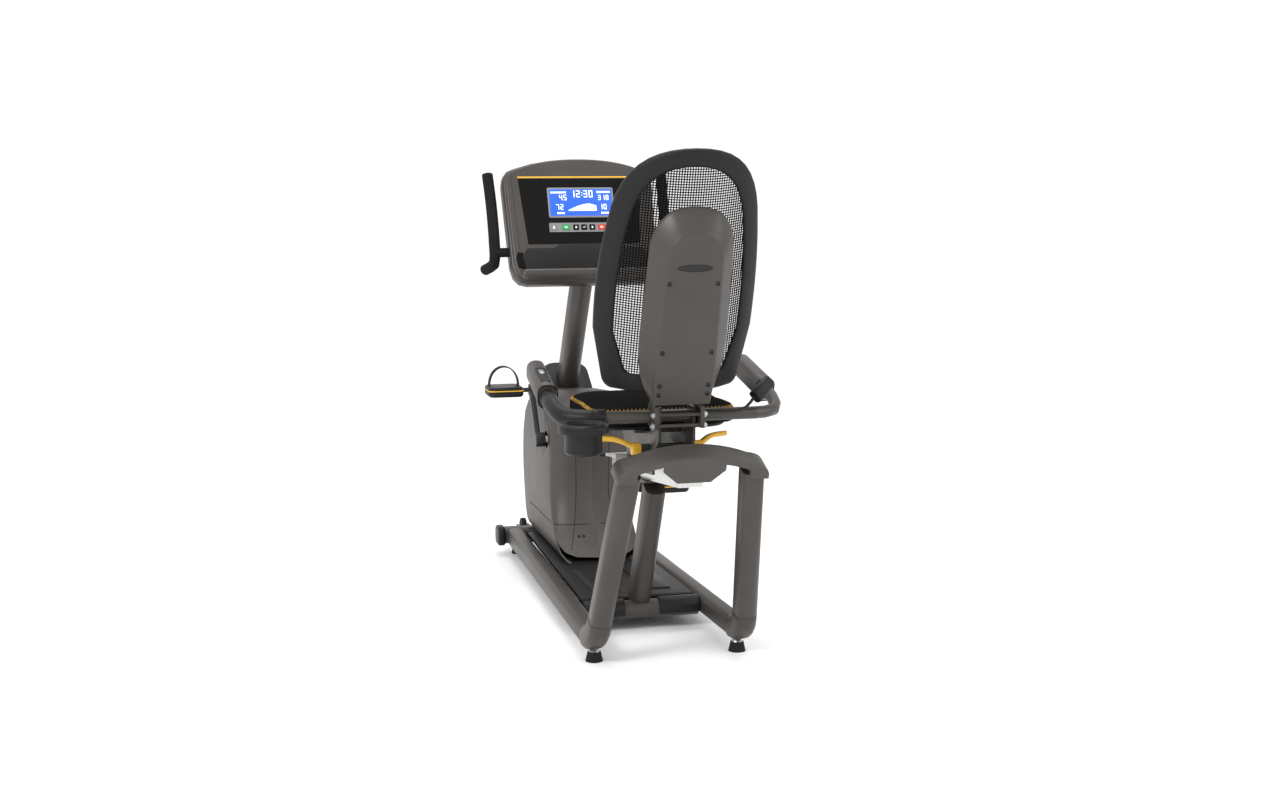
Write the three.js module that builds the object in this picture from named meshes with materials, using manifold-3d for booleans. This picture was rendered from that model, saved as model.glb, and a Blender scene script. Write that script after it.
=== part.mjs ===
// Recumbent exercise bike. Millimetres, +Z up, the rider faces -Y and the rider's left is +X.
// The origin is on the floor under the middle of the machine's box.
import * as THREE from "three";
import { mergeVertices } from "three/addons/utils/BufferGeometryUtils.js";
import Module from "manifold-3d";

// ---- driving dimensions ----
const GAP = 0.4; // clearance between fixed neighbours
const RUN = 1.0; // clearance round a moving piece

const REAR_FOOT_Y = 537;
const FRONT_FOOT_Y = -728;
const FOOT = { radius: 23, height: 26, stem: 7, rear_x: 191, front_x: 150 };

const RAIL = { width: 54, height: 54, corner: 17, z: 62, rear_x: 196, front_x: 166 };
const ELBOW = { width: 58, depth: 64, corner: 20, rail_reach: 62, leg_reach: 62 };
const ELBOW_Y = 578; // where the rail's axis meets the leg's axis
const LEG = { width: 56, depth: 64, corner: 20, top_x: 158, top_y: 745, top_z: 490 };
const FRONT_TUBE = { length: 2 * RAIL.front_x + RAIL.width + 6, depth: 58, height: 50, corner: 14 };
const END_CAP = { length: 24, depth: 74, height: 62, corner: 22 };
const CROSS_TUBE = { radius: 25, y: 272, drop: 4, end_gap: 2 };
const TRAY = { rear_y: CROSS_TUBE.y - 36, front_y: FRONT_FOOT_Y + 88, thickness: 10, top_z: RAIL.z + 24,
  side_gap: 4, cuff: 5 };

const ARCH = { depth: LEG.depth + 10, half_width: LEG.top_x + 33, crown: 92, band: 18, corner: 42,
  skirt: 36, bottom: 23, foot: 50 };
const SHIELD = { top_half: 78, bottom_half: 42, bottom: 22, slant: 32, thickness: 9 };

const SLOPE = 6.3; // seat rail incline, degrees, rising to the rear
const SEAT_RAIL = { front_y: 72, rear_y: LEG.top_y + 7, flange: 100, lip: 8, body: 62, height: 42 };
const RAIL_TOP = { y: 270, z: LEG.top_z - 12 }; // a point on the seat rail's upper face
const POST = { width: 54, depth: 72, corner: 20, base_y: 240, top_y: 415, plate: 7 };

const SHROUD = { half_width: 124, wall: 4 };
const CRANK = { y: FRONT_FOOT_Y + 338, z: 425, arm: 170, lean: 34.3, inner_x: SHROUD.half_width + 18,
  thick: 16, shaft: 11, hub: 24 };
const PULLEY = { radius: 74, width: 16, x: 30 };
const FLYWHEEL = { y: CRANK.y - 210, z: CRANK.z - 133, radius: 125, width: 34, x: -48, pulley: 25,
  axle: 8 };
const PEDAL = { inner_gap: 23, width: 108, length: 104, thick: 30, spindle: 7 };
const STRAP = { thick: 3, width: 30, rise: 62 };

const MAST = { width: 60, depth: 88, corner: 26, base_y: FRONT_FOOT_Y + 12, base_z: CRANK.z + 45,
  lean: 32, length: 520 };
const COLLAR = { rim: 84, from: 72, length: 50 };
const CONSOLE = { ahead: 20, above: 224, tilt: 22, half_width: 234, top: 146, shoulder: 108, bottom: -250,
  depth: 58 };
const BEZEL = { thick: 12, inset: 7, lip: 26 };
const WINDOW = { half_width: 188, top: 74, bottom: -134, thick: 4 };
const KEY = { y: -82, height: 17, travel: 1.2, thick: 5 };
const KEY_X = [-90, -52, -22, 3, 28, 58]; // from the rider's left
const KEY_WIDTH = [18, 24, 17, 17, 17, 22];
const BAR = { radius: 17, reach: 268, top: 104, bottom: -172, back: 26, forward: 78, flare: 20, cross: 14 };

const SEAT_Z = RAIL_TOP.z + 122; // under the cushion
const ARM = { radius: 16, y: LEG.top_y - 137, z: SEAT_Z + 37, bend_x: 224, side_x: 290, end_x: 284,
  reach: 332, rise: 76 };
const CUSHION = { width: 406, front_y: 190, rear_y: ARM.y - 64, thick: 54, corner: 90 };
const PAN = { thick: 10, inset: 26 };
const CARRIAGE = { front_y: CUSHION.front_y + 72, rear_y: ARM.y + 32, width: 132, plate: 8, wall: 7,
  hang: 24, cheek_x: 44 };
const GRIP = { width: 48, height: 60, start: 0.56, corner: 20 };
const CUP = { x: 252, y: ARM.y + 86, top_z: ARM.z + 3, ring: 62, ring_height: 22, cup: 46, depth: 76,
  wall: 4 };

const RECLINE = 18.4; // seat back lean, degrees from vertical
const BACK = { foot_y: ARM.y + 9, foot_z: ARM.z + 55, height: 634, half_width: 205, wrap: 78, rim: 46,
  thick: 20 };
const COVER = { foot: 2, height: 500, half_width: 112, panel: 72, foot_half: 74, front: 12, behind: 64 };
const UPRIGHT = { x: 58, width: 10, depth: 15, top: 330 };

const LEVER = { y: ARM.y - 72, z: SEAT_Z - 55, shaft: 11, hub_x: 84, tip_x: 172, drop: 20, section: 13 };
const RECLINE_LEVER = { y: ARM.y + 38, z: ARM.z + 15, rod: 4, inner_x: -40, outer_x: -164, knob: 17 };
const WHEEL = { x: 120, y: FRONT_FOOT_Y - FRONT_TUBE.depth / 2 - 42, z: RAIL.z + 4, radius: 34, width: 24,
  axle: 5, lug: 6 };

// ---- small tools ----
const wasm = await Module();
wasm.setup();
const bike = new THREE.Group();
const rad = THREE.MathUtils.degToRad;
const vec = (x, y, z) => new THREE.Vector3(x, y, z);

const paint = (color, roughness, metalness) =>
  new THREE.MeshStandardMaterial({ color, roughness, metalness });
const BRONZE = paint(0x4a4541, 0.42, 0.45);
const BLACK = paint(0x141414, 0.6, 0);
const SOFT_BLACK = paint(0x1c1c1c, 0.9, 0);
const GLOSS = paint(0x0a0a0a, 0.12, 0);
const ALUMINIUM = paint(0xb9bab8, 0.35, 0.9);
const STEEL = paint(0x8c8c8c, 0.3, 0.95);
const YELLOW = paint(0xe0a81c, 0.45, 0);
const GREEN = paint(0x1fa04a, 0.4, 0);
const RED = paint(0xd0261c, 0.4, 0);
const GREY = paint(0x8a8c8e, 0.5, 0);

function toSolid(geometry) {
  const plain = geometry.index ? geometry.toNonIndexed() : geometry.clone();
  plain.deleteAttribute("normal");
  plain.deleteAttribute("uv");
  const merged = mergeVertices(plain, 1e-3);
  return new wasm.Manifold(
    new wasm.Mesh({
      numProp: 3,
      vertProperties: new Float32Array(merged.attributes.position.array),
      triVerts: new Uint32Array(merged.index.array),
    }),
  );
}

function toGeometry(manifold) {
  const mesh = manifold.getMesh();
  const geometry = new THREE.BufferGeometry();
  geometry.setAttribute("position", new THREE.BufferAttribute(new Float32Array(mesh.vertProperties), 3));
  geometry.setIndex(new THREE.BufferAttribute(new Uint32Array(mesh.triVerts), 1));
  return geometry;
}

const join = (...shapes) => toGeometry(shapes.map(toSolid).reduce((a, b) => a.add(b)));
const cut = (base, ...tools) => toGeometry(tools.map(toSolid).reduce((a, b) => a.subtract(b),
  toSolid(base)));

function add(name, geometry, material) {
  const mesh = new THREE.Mesh(geometry, material);
  mesh.name = name;
  bike.add(mesh);
  return mesh;
}

const block = (w, d, h, x = 0, y = 0, z = 0) => new THREE.BoxGeometry(w, d, h).translate(x, y, z);

function rodX(radius, x0, x1, y, z, sides = 16) {
  const rod = new THREE.CylinderGeometry(radius, radius, Math.abs(x1 - x0), sides);
  return rod.rotateZ(Math.PI / 2).translate((x0 + x1) / 2, y, z);
}

function rodZ(radius, x, y, z0, z1, sides = 20, top = radius) {
  const rod = new THREE.CylinderGeometry(top, radius, z1 - z0, sides);
  return rod.rotateX(Math.PI / 2).translate(x, y, (z0 + z1) / 2);
}

function rounded(w, h, r) {
  const s = new THREE.Shape();
  const [a, b] = [w / 2, h / 2];
  s.moveTo(-a + r, -b);
  s.lineTo(a - r, -b);
  s.absarc(a - r, -b + r, r, -Math.PI / 2, 0);
  s.lineTo(a, b - r);
  s.absarc(a - r, b - r, r, 0, Math.PI / 2);
  s.lineTo(-a + r, b);
  s.absarc(-a + r, b - r, r, Math.PI / 2, Math.PI);
  s.lineTo(-a, -b + r);
  s.absarc(-a + r, -b + r, r, Math.PI, 1.5 * Math.PI);
  return s;
}

function outline(points) {
  return new THREE.Shape(points.map(([x, y]) => new THREE.Vector2(x, y)));
}

function prism(shape, depth, bevel = 0, segments = 3, rings = 2) {
  return new THREE.ExtrudeGeometry(shape, {
    depth: depth - 2 * bevel,
    curveSegments: segments,
    bevelEnabled: bevel > 0,
    bevelThickness: bevel,
    bevelSize: bevel,
    bevelOffset: -bevel,
    bevelSegments: rings,
  }).translate(0, 0, bevel);
}

// A straight bar from one point to another; the section's x lies level, its y points towards `up`.
function bar(section, from, to, up = vec(0, 0, 1), segments = 2) {
  const along = to.clone().sub(from);
  const length = along.length();
  along.normalize();
  const level = up.clone().cross(along).normalize();
  const high = along.clone().cross(level);
  const place = new THREE.Matrix4().makeBasis(level, high, along).setPosition(from);
  return prism(section, length, 0, segments).applyMatrix4(place);
}

function sweep(section, curve, steps, segments = 2) {
  return new THREE.ExtrudeGeometry(section, { extrudePath: curve, steps, curveSegments: segments });
}

function circle(radius) {
  const s = new THREE.Shape();
  s.absarc(0, 0, radius, 0, 2 * Math.PI);
  return s;
}

// Joins rings of the same number of points into one closed skin, with a fan over each end.
function loft(rings) {
  const n = rings[0].length;
  const points = rings.flat();
  const index = [];
  for (let k = 0; k + 1 < rings.length; k++) {
    for (let i = 0; i < n; i++) {
      const [a, b] = [k * n + i, k * n + ((i + 1) % n)];
      index.push(a, b, b + n, a, b + n, a + n);
    }
  }
  for (const [start, flip] of [[0, true], [(rings.length - 1) * n, false]]) {
    const hub = points.length;
    const ring = points.slice(start, start + n);
    points.push(ring.reduce((a, b) => a.clone().add(b), vec(0, 0, 0)).divideScalar(n));
    for (let i = 0; i < n; i++) {
      const [a, b] = [start + i, start + ((i + 1) % n)];
      index.push(...(flip ? [hub, b, a] : [hub, a, b]));
    }
  }
  const geometry = new THREE.BufferGeometry().setFromPoints(points);
  geometry.setIndex(index);
  return geometry;
}

const mirrored = (geometry) => {
  const solid = toSolid(geometry).mirror([1, 0, 0]);
  return toGeometry(solid);
};

// ---- base frame ----
const legTop = (side) => vec(side * LEG.top_x, LEG.top_y, LEG.top_z);
const corner = (side) => vec(side * RAIL.rear_x, ELBOW_Y, RAIL.z);
const railFront = (side) => vec(side * RAIL.front_x, FRONT_FOOT_Y + FRONT_TUBE.depth / 2 + RUN, RAIL.z);
const legWay = legTop(1).sub(corner(1)).normalize();
const legLean = Math.atan2(legWay.y, legWay.z);

const REAR_STEM_TOP = RAIL.z - ELBOW.depth / 2 + 18;
const FRONT_STEM_TOP = RAIL.z - FRONT_TUBE.height / 2 + 18;
const footBore = (x, y, top) => rodZ(FOOT.stem + RUN, x, y, 0, top + RUN, 12);

function sideFrame(side, name) {
  const k = corner(side);
  const toLeg = legTop(side).sub(k).normalize();
  const toRail = railFront(side).sub(k).normalize();
  const railEnd = k.clone().addScaledVector(toRail, ELBOW.rail_reach);
  const legEnd = k.clone().addScaledVector(toLeg, ELBOW.leg_reach);
  const bend = new THREE.QuadraticBezierCurve3(railEnd, k, legEnd);
  const elbow = cut(
    sweep(rounded(ELBOW.depth, ELBOW.width, ELBOW.corner), bend, 8),
    footBore(side * FOOT.rear_x, REAR_FOOT_Y, REAR_STEM_TOP),
  );
  add("rear_elbow_" + name, elbow, BRONZE);
  const railStart = railEnd.clone().addScaledVector(toRail, GAP);
  const rail = bar(rounded(RAIL.width, RAIL.height, RAIL.corner), railStart, railFront(side));
  add("side_rail_" + name, rail, BRONZE);
  const legStart = legEnd.clone().addScaledVector(toLeg, GAP);
  const legFinish = k.clone().addScaledVector(toLeg, k.distanceTo(legTop(side)) + ARCH.skirt);
  const leg = bar(rounded(LEG.width, LEG.depth, LEG.corner), legStart, legFinish, vec(0, -1, 0));
  add("rear_leg_" + name, leg, BRONZE);
}

function frontTube() {
  const tube = prism(rounded(FRONT_TUBE.depth, FRONT_TUBE.height, FRONT_TUBE.corner), FRONT_TUBE.length);
  tube.rotateX(Math.PI / 2).rotateZ(Math.PI / 2);
  tube.translate(-FRONT_TUBE.length / 2, FRONT_FOOT_Y, RAIL.z);
  const lugs = [];
  for (const side of [-1, 1]) {
    for (const edge of [-1, 1]) {
      const x = side * WHEEL.x + edge * (WHEEL.width / 2 + WHEEL.lug);
      lugs.push(block(WHEEL.lug, FRONT_FOOT_Y - WHEEL.y + 12, 26, x, (FRONT_FOOT_Y + WHEEL.y) / 2 - 6,
        WHEEL.z));
    }
    const reach = WHEEL.width / 2 + WHEEL.lug;
    lugs.push(rodX(WHEEL.axle, side * WHEEL.x - reach, side * WHEEL.x + reach, WHEEL.y, WHEEL.z, 12));
  }
  const bores = [-1, 1].map((side) => footBore(side * FOOT.front_x, FRONT_FOOT_Y, FRONT_STEM_TOP));
  add("front_cross_tube", cut(join(tube, ...lugs), ...bores), BRONZE);
  const cap = prism(rounded(END_CAP.depth, END_CAP.height, END_CAP.corner), END_CAP.length, 6);
  cap.rotateX(Math.PI / 2).rotateZ(Math.PI / 2);
  cap.translate(FRONT_TUBE.length / 2 + GAP, FRONT_FOOT_Y, RAIL.z);
  add("end_cap_left", cap, BLACK);
  add("end_cap_right", mirrored(cap), BLACK);
}

function crossTube() {
  const taper = (RAIL.rear_x - RAIL.front_x) / (ELBOW_Y - railFront(1).y);
  const railX = (y) => RAIL.rear_x - (ELBOW_Y - y) * taper;
  const half = railX(CROSS_TUBE.y) - RAIL.width / 2 - CROSS_TUBE.end_gap;
  add("rear_cross_tube", rodX(CROSS_TUBE.radius, -half, half, CROSS_TUBE.y, RAIL.z - CROSS_TUBE.drop, 24),
    BRONZE);
  const rear = railX(TRAY.rear_y) - RAIL.width / 2 - TRAY.side_gap;
  const front = railX(TRAY.front_y) - RAIL.width / 2 - TRAY.side_gap;
  const plan = outline([[-front, TRAY.front_y], [front, TRAY.front_y], [rear, TRAY.rear_y], [-rear,
    TRAY.rear_y]]);
  let tray = prism(plan, TRAY.thickness).translate(0, 0, TRAY.top_z - TRAY.thickness);
  for (const side of [-1, 1]) {
    tray = join(tray, block(76, 260, 5, side * 72, TRAY.rear_y - 190, TRAY.top_z + 1.5));
  }
  const step = block(2 * rear, 40, 22, 0, TRAY.rear_y - 12, TRAY.top_z - 12);
  const seat = rodX(CROSS_TUBE.radius + GAP, -200, 200, CROSS_TUBE.y, RAIL.z - CROSS_TUBE.drop, 24);
  const level = RAIL.z - CROSS_TUBE.drop;
  const cuff = rodX(CROSS_TUBE.radius + TRAY.cuff, -half, half, CROSS_TUBE.y, level, 24);
  const middle = block(POST.width + 44, 120, 120, 0, CROSS_TUBE.y, level);
  const under = block(3 * half, 120, 60, 0, CROSS_TUBE.y, level - 42);
  add("footplate_tray", cut(join(tray, step, cut(cuff, middle, under)), seat, postSolid(GAP)), BLACK);
}

const railTop = (y) => RAIL_TOP.z + (y - RAIL_TOP.y) * Math.tan(rad(SLOPE));
const postFoot = vec(0, POST.base_y, TRAY.top_z - 30);
const postHead = vec(0, POST.top_y, railTop(POST.top_y) - SEAT_RAIL.lip - SEAT_RAIL.height - 22);

function postSolid(grow) {
  const section = rounded(POST.width + 2 * grow, POST.depth + 2 * grow, POST.corner + grow);
  return bar(section, postFoot, postHead, vec(0, -1, 0));
}

function centrePost() {
  const seat = rodX(CROSS_TUBE.radius + GAP, -100, 100, CROSS_TUBE.y, RAIL.z - CROSS_TUBE.drop, 24);
  const plate = block(84, 130, POST.plate);
  plate.rotateX(rad(SLOPE)).translate(0, POST.top_y,
    railTop(POST.top_y) - SEAT_RAIL.lip - SEAT_RAIL.height - POST.plate / 2 - GAP);
  add("centre_post", cut(join(postSolid(0), plate), seat), BRONZE);
}

function seatRail() {
  const { flange, lip, body, height } = SEAT_RAIL;
  const shape = outline([
    [-body / 2, -lip - height], [body / 2, -lip - height], [body / 2, -lip],
    [flange / 2, -lip], [flange / 2, 0], [-flange / 2, 0], [-flange / 2, -lip], [-body / 2, -lip],
  ]);
  const from = vec(0, SEAT_RAIL.front_y, railTop(SEAT_RAIL.front_y));
  const to = vec(0, SEAT_RAIL.rear_y, railTop(SEAT_RAIL.rear_y));
  add("seat_rail", bar(shape, from, to), ALUMINIUM);
}

// The arch is drawn across the machine, then leaned back with the legs.
function archCover() {
  const { half_width: w, crown, band, corner: r, skirt, bottom, foot: f } = ARCH;
  const shape = new THREE.Shape();
  shape.moveTo(-w, bottom);
  shape.lineTo(-w, bottom + 8);
  shape.quadraticCurveTo(-w, bottom + 34, -w + r, bottom + 40);
  shape.quadraticCurveTo(-w / 2.4, crown, 0, crown);
  shape.quadraticCurveTo(w / 2.4, crown, w - r, bottom + 40);
  shape.quadraticCurveTo(w, bottom + 34, w, bottom + 8);
  shape.lineTo(w, bottom);
  shape.lineTo(w - f, bottom);
  shape.lineTo(w - f, bottom + 26);
  shape.quadraticCurveTo(w / 2.4, crown - band, 0, crown - band);
  shape.quadraticCurveTo(-w / 2.4, crown - band, -w + f, bottom + 26);
  shape.lineTo(-w + f, bottom);
  const lean = (g) => g.rotateX(Math.PI / 2 - legLean).translate(0, LEG.top_y, LEG.top_z);
  const shell = lean(prism(shape, ARCH.depth, 6, 6).translate(0, 0, -ARCH.depth / 2));
  const { top_half: a, bottom_half: b, bottom: low, slant } = SHIELD;
  const high = crown - band / 2;
  const skin = outline([[-a, high - 12], [-a, low + slant], [-b, low], [b, low], [a, low + slant],
    [a, high - 12], [0, high]]);
  const shield = lean(prism(skin, SHIELD.thickness, 2).translate(0, 0, -ARCH.depth / 2 + 1));
  const sockets = [-1, 1].map((side) => {
    const section = rounded(LEG.width + 2 * GAP, LEG.depth + 2 * GAP, LEG.corner + GAP);
    const from = corner(side).lerp(legTop(side), 0.5);
    const to = legTop(side).add(legTop(side).sub(corner(side)).normalize().multiplyScalar(skirt + GAP));
    return bar(section, from, to, vec(0, -1, 0));
  });
  add("arch_cover", cut(join(shell, shield), ...sockets), BRONZE);
}

// ---- shrouds and drive ----
// The shroud's side view, drawn in (y, z) from the crank's axis.
function shroudOutline() {
  const s = new THREE.Shape();
  s.moveTo(236, -352);
  s.quadraticCurveTo(180, -326, 128, -262);
  s.quadraticCurveTo(96, -215, 82, -150);
  s.quadraticCurveTo(80, -40, 98, 62);
  s.quadraticCurveTo(92, 140, 0, 146);
  s.lineTo(-220, 126);
  s.quadraticCurveTo(-390, 112, -422, -20);
  s.quadraticCurveTo(-446, -125, -410, -245);
  s.quadraticCurveTo(-390, -352, -330, -352);
  return s;
}

const mastFoot = vec(0, MAST.base_y, MAST.base_z);
const mastWay = vec(0, Math.sin(rad(MAST.lean)), Math.cos(rad(MAST.lean)));
const mastTop = mastFoot.clone().addScaledVector(mastWay, MAST.length);

function mastSolid(grow, from = 0, length = MAST.length) {
  const section = rounded(MAST.width + 2 * grow, MAST.depth + 2 * grow, MAST.corner + grow);
  const a = mastFoot.clone().addScaledVector(mastWay, from);
  return bar(section, a, a.clone().addScaledVector(mastWay, length), vec(0, -1, 0));
}

function collarSolid(grow) {
  const section = rounded(MAST.width + COLLAR.rim + 2 * grow, MAST.depth + COLLAR.rim + 2 * grow,
    MAST.corner + 18);
  const start = mastFoot.clone().addScaledVector(mastWay, COLLAR.from - grow);
  return bar(section, start, start.clone().addScaledVector(mastWay, COLLAR.length + 2 * grow), vec(0, -1,
    0));
}

// Turns a drawing in (y, z) into a slab that starts at x = 0 and grows to +x.
const upright = (geometry) => geometry.rotateX(Math.PI / 2).rotateZ(Math.PI / 2);

// The side view swells from each flat cheek to its full outline, like a pillow.
function shroudSkin(half, inset) {
  const side = shroudOutline().getPoints(3);
  const middle = new THREE.Vector2(-170, -75);
  const ring = (x, scale) =>
    side.map((p) => {
      const out = p.clone().sub(middle);
      const reach = out.length();
      out.multiplyScalar((reach * scale - inset) / reach).add(middle);
      return vec(x, CRANK.y + out.x, CRANK.z + out.y);
    });
  const stations = [[-1, 0.8], [-0.97, 0.87], [-0.85, 0.94], [-0.6, 0.985], [0, 1], [0.6, 0.985], [0.85,
    0.94], [0.97, 0.87], [1, 0.8]];
  return loft(stations.map(([x, scale]) => ring(x * half, scale)));
}

function shrouds() {
  const { half_width: w, wall } = SHROUD;
  const outer = shroudSkin(w, 0);
  const inner = shroudSkin(w - wall, wall);
  const half = block(w + 50, 900, 900, (w + 50) / 2 + GAP / 2, CRANK.y - 170, CRANK.z - 25);
  const left = toSolid(outer).subtract(toSolid(inner)).intersect(toSolid(half));
  const hole = rodX(CRANK.hub + 3, w / 2, w + 80, CRANK.y, CRANK.z, 16);
  const well = block(2 * w, 620, 60, 0, CRANK.y - 70, TRAY.top_z + RUN - 30);
  const made = cut(toGeometry(left), hole, mastSolid(3, 0, COLLAR.from + 200), collarSolid(GAP), well);
  add("shroud_left", made, BRONZE);
  add("shroud_right", mirrored(made), BRONZE);
  const ring = cut(collarSolid(0), mastSolid(GAP, 60, 200));
  add("mast_collar", ring, BLACK);
  add("mast", mastSolid(0), BRONZE);
}

function driveBracket() {
  const y = MAST.base_y - 4;
  const floor = TRAY.top_z + 2;
  const column = block(30, 56, MAST.base_z - 34 - floor, -4, y, (floor + MAST.base_z - 34) / 2);
  const foot = block(90, 56, 8, 0, y + 10, floor + 4);
  const head = block(56, 70, 8, 0, y, MAST.base_z - 32);
  const stay = bar(rounded(24, 34, 6), vec(-4, y, FLYWHEEL.z + 8), vec(-4, CRANK.y, CRANK.z), vec(0, 0, 1));
  const shell = rodX(CRANK.hub, -22, 14, CRANK.y, CRANK.z, 16);
  const bore = rodX(CRANK.shaft + RUN, -60, 60, CRANK.y, CRANK.z, 16);
  const arm = bar(rounded(22, 34, 6), vec(-4, y, FLYWHEEL.z), vec(-4, FLYWHEEL.y, FLYWHEEL.z), vec(0, 0,
    1));
  const boss = rodX(20, -15, 7, FLYWHEEL.y, FLYWHEEL.z, 24);
  const axle = rodX(FLYWHEEL.axle + RUN, -80, 80, FLYWHEEL.y, FLYWHEEL.z, 20);
  const body = join(column, foot, head, stay, shell, arm, boss);
  add("drive_bracket", cut(body, bore, axle), STEEL);
}

function drive() {
  const shaft = rodX(CRANK.shaft, -CRANK.inner_x + 6, CRANK.inner_x - 6, CRANK.y, CRANK.z, 20);
  const wheel = rodX(PULLEY.radius, PULLEY.x - PULLEY.width / 2, PULLEY.x + PULLEY.width / 2, CRANK.y,
    CRANK.z, 28);
  const windows = [0, 1, 2, 3, 4].map((i) => {
    const a = (i * 2 * Math.PI) / 5;
    return rodX(17, 0, 60, CRANK.y + 48 * Math.cos(a), CRANK.z + 48 * Math.sin(a), 10);
  });
  add("crank_pulley", join(cut(wheel, ...windows), shaft), STEEL);
  const rim = rodX(FLYWHEEL.radius, FLYWHEEL.x - FLYWHEEL.width / 2, FLYWHEEL.x + FLYWHEEL.width / 2,
    FLYWHEEL.y, FLYWHEEL.z, 36);
  const axle = rodX(FLYWHEEL.axle, FLYWHEEL.x - 22, PULLEY.x + PULLEY.width / 2, FLYWHEEL.y, FLYWHEEL.z,
    20);
  const small = rodX(FLYWHEEL.pulley, PULLEY.x - PULLEY.width / 2, PULLEY.x + PULLEY.width / 2,
    FLYWHEEL.y, FLYWHEEL.z, 20);
  add("flywheel", join(rim, axle, small), STEEL);
  add("drive_belt", belt(), SOFT_BLACK);
}

// An open belt: two arcs joined by the tangents of the two pulleys.
function belt() {
  const centre = Math.hypot(FLYWHEEL.y - CRANK.y, FLYWHEEL.z - CRANK.z);
  const loop = (extra, Kind) => {
    const big = PULLEY.radius + 0.6 + extra;
    const small = FLYWHEEL.pulley + 0.6 + extra;
    const wrap = Math.acos((big - small) / centre);
    const path = new Kind();
    path.absarc(0, 0, big, wrap, 2 * Math.PI - wrap, false);
    path.absarc(centre, 0, small, -wrap, wrap, false);
    return path;
  };
  const shape = loop(4, THREE.Shape);
  shape.holes.push(loop(0, THREE.Path));
  const ribbon = prism(shape, PULLEY.width - 2, 0, 10);
  const turn = Math.atan2(FLYWHEEL.z - CRANK.z, FLYWHEEL.y - CRANK.y);
  ribbon.rotateZ(turn);
  return upright(ribbon).translate(PULLEY.x - PULLEY.width / 2 + 1, CRANK.y, CRANK.z);
}

const PEDAL_X = CRANK.inner_x + CRANK.thick + PEDAL.inner_gap + PEDAL.width / 2;
const pedalAt = (side) =>
  vec(side * PEDAL_X, CRANK.y - side * CRANK.arm * Math.sin(rad(CRANK.lean)),
    CRANK.z + side * CRANK.arm * Math.cos(rad(CRANK.lean)));

function crankArm(side, name) {
  const p = pedalAt(side);
  const x0 = side * CRANK.inner_x;
  const x1 = side * (CRANK.inner_x + CRANK.thick);
  const body = bar(rounded(CRANK.thick, 30, 6), vec((x0 + x1) / 2, CRANK.y, CRANK.z), vec((x0 + x1) / 2,
    p.y, p.z), vec(0, 1, 0));
  const hub = rodX(CRANK.hub - 2, side * (SHROUD.half_width + 6), x1, CRANK.y, CRANK.z, 16);
  const eye = rodX(18, x0, x1, p.y, p.z, 20);
  const spindle = rodX(PEDAL.spindle, x0, side * (PEDAL_X + PEDAL.width / 2 - 12), p.y, p.z, 16);
  const socket = rodX(CRANK.shaft + GAP, side * 100, side * (CRANK.inner_x - 5), CRANK.y, CRANK.z, 20);
  add("crank_arm_" + name, cut(join(body, hub, eye, spindle), socket), BLACK);
}

function pedal(side, name) {
  const p = pedalAt(side);
  const tread = prism(rounded(PEDAL.width, PEDAL.length, 20), PEDAL.thick, 5, 2, 1);
  tread.translate(p.x, p.y, p.z - PEDAL.thick / 2);
  const bore = rodX(PEDAL.spindle + RUN, side * 100, side * (PEDAL_X + PEDAL.width / 2 - 10), p.y, p.z, 16);
  const slots = [-1, 1].map((e) => block(5, STRAP.width + 4, 14, p.x + e * (PEDAL.width / 2 - 9), p.y - 8,
    p.z + PEDAL.thick / 2));
  add("pedal_" + name, cut(tread, bore, ...slots), BLACK);
  const half = PEDAL.width / 2 - 9;
  const foot = p.z + PEDAL.thick / 2 - 4;
  const arc = new THREE.CubicBezierCurve3(
    vec(p.x - half, p.y - 8, foot), vec(p.x - half - 2, p.y - 8, foot + 1.34 * STRAP.rise),
    vec(p.x + half + 2, p.y - 8, foot + 1.34 * STRAP.rise), vec(p.x + half, p.y - 8, foot),
  );
  add("pedal_strap_" + name, sweep(rounded(STRAP.width, STRAP.thick, 1), arc, 14, 1), SOFT_BLACK);
}

// ---- console ----
// Console drawings are in (x, up the face); z grows out of the face towards the rider.
const onConsole = (geometry) =>
  geometry.rotateX(rad(90 - CONSOLE.tilt)).rotateZ(Math.PI).translate(0, mastTop.y - CONSOLE.ahead,
    mastTop.z + CONSOLE.above);

function consoleOutline(inset) {
  const w = CONSOLE.half_width - inset;
  const s = new THREE.Shape();
  const low = CONSOLE.bottom + inset;
  s.moveTo(-w + 56, low);
  s.lineTo(w - 56, low);
  s.quadraticCurveTo(w - 14, low, w - 8, low + 56);
  s.lineTo(w, CONSOLE.shoulder - 44 - inset);
  s.quadraticCurveTo(w, CONSOLE.shoulder - inset, w - 40, CONSOLE.shoulder + 8 - inset);
  s.quadraticCurveTo(w / 2, CONSOLE.top - inset, 0, CONSOLE.top - inset);
  s.quadraticCurveTo(-w / 2, CONSOLE.top - inset, -w + 40, CONSOLE.shoulder + 8 - inset);
  s.quadraticCurveTo(-w, CONSOLE.shoulder - inset, -w, CONSOLE.shoulder - 44 - inset);
  s.lineTo(-w + 8, low + 56);
  s.quadraticCurveTo(-w + 14, low, -w + 56, low);
  return s;
}

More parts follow.
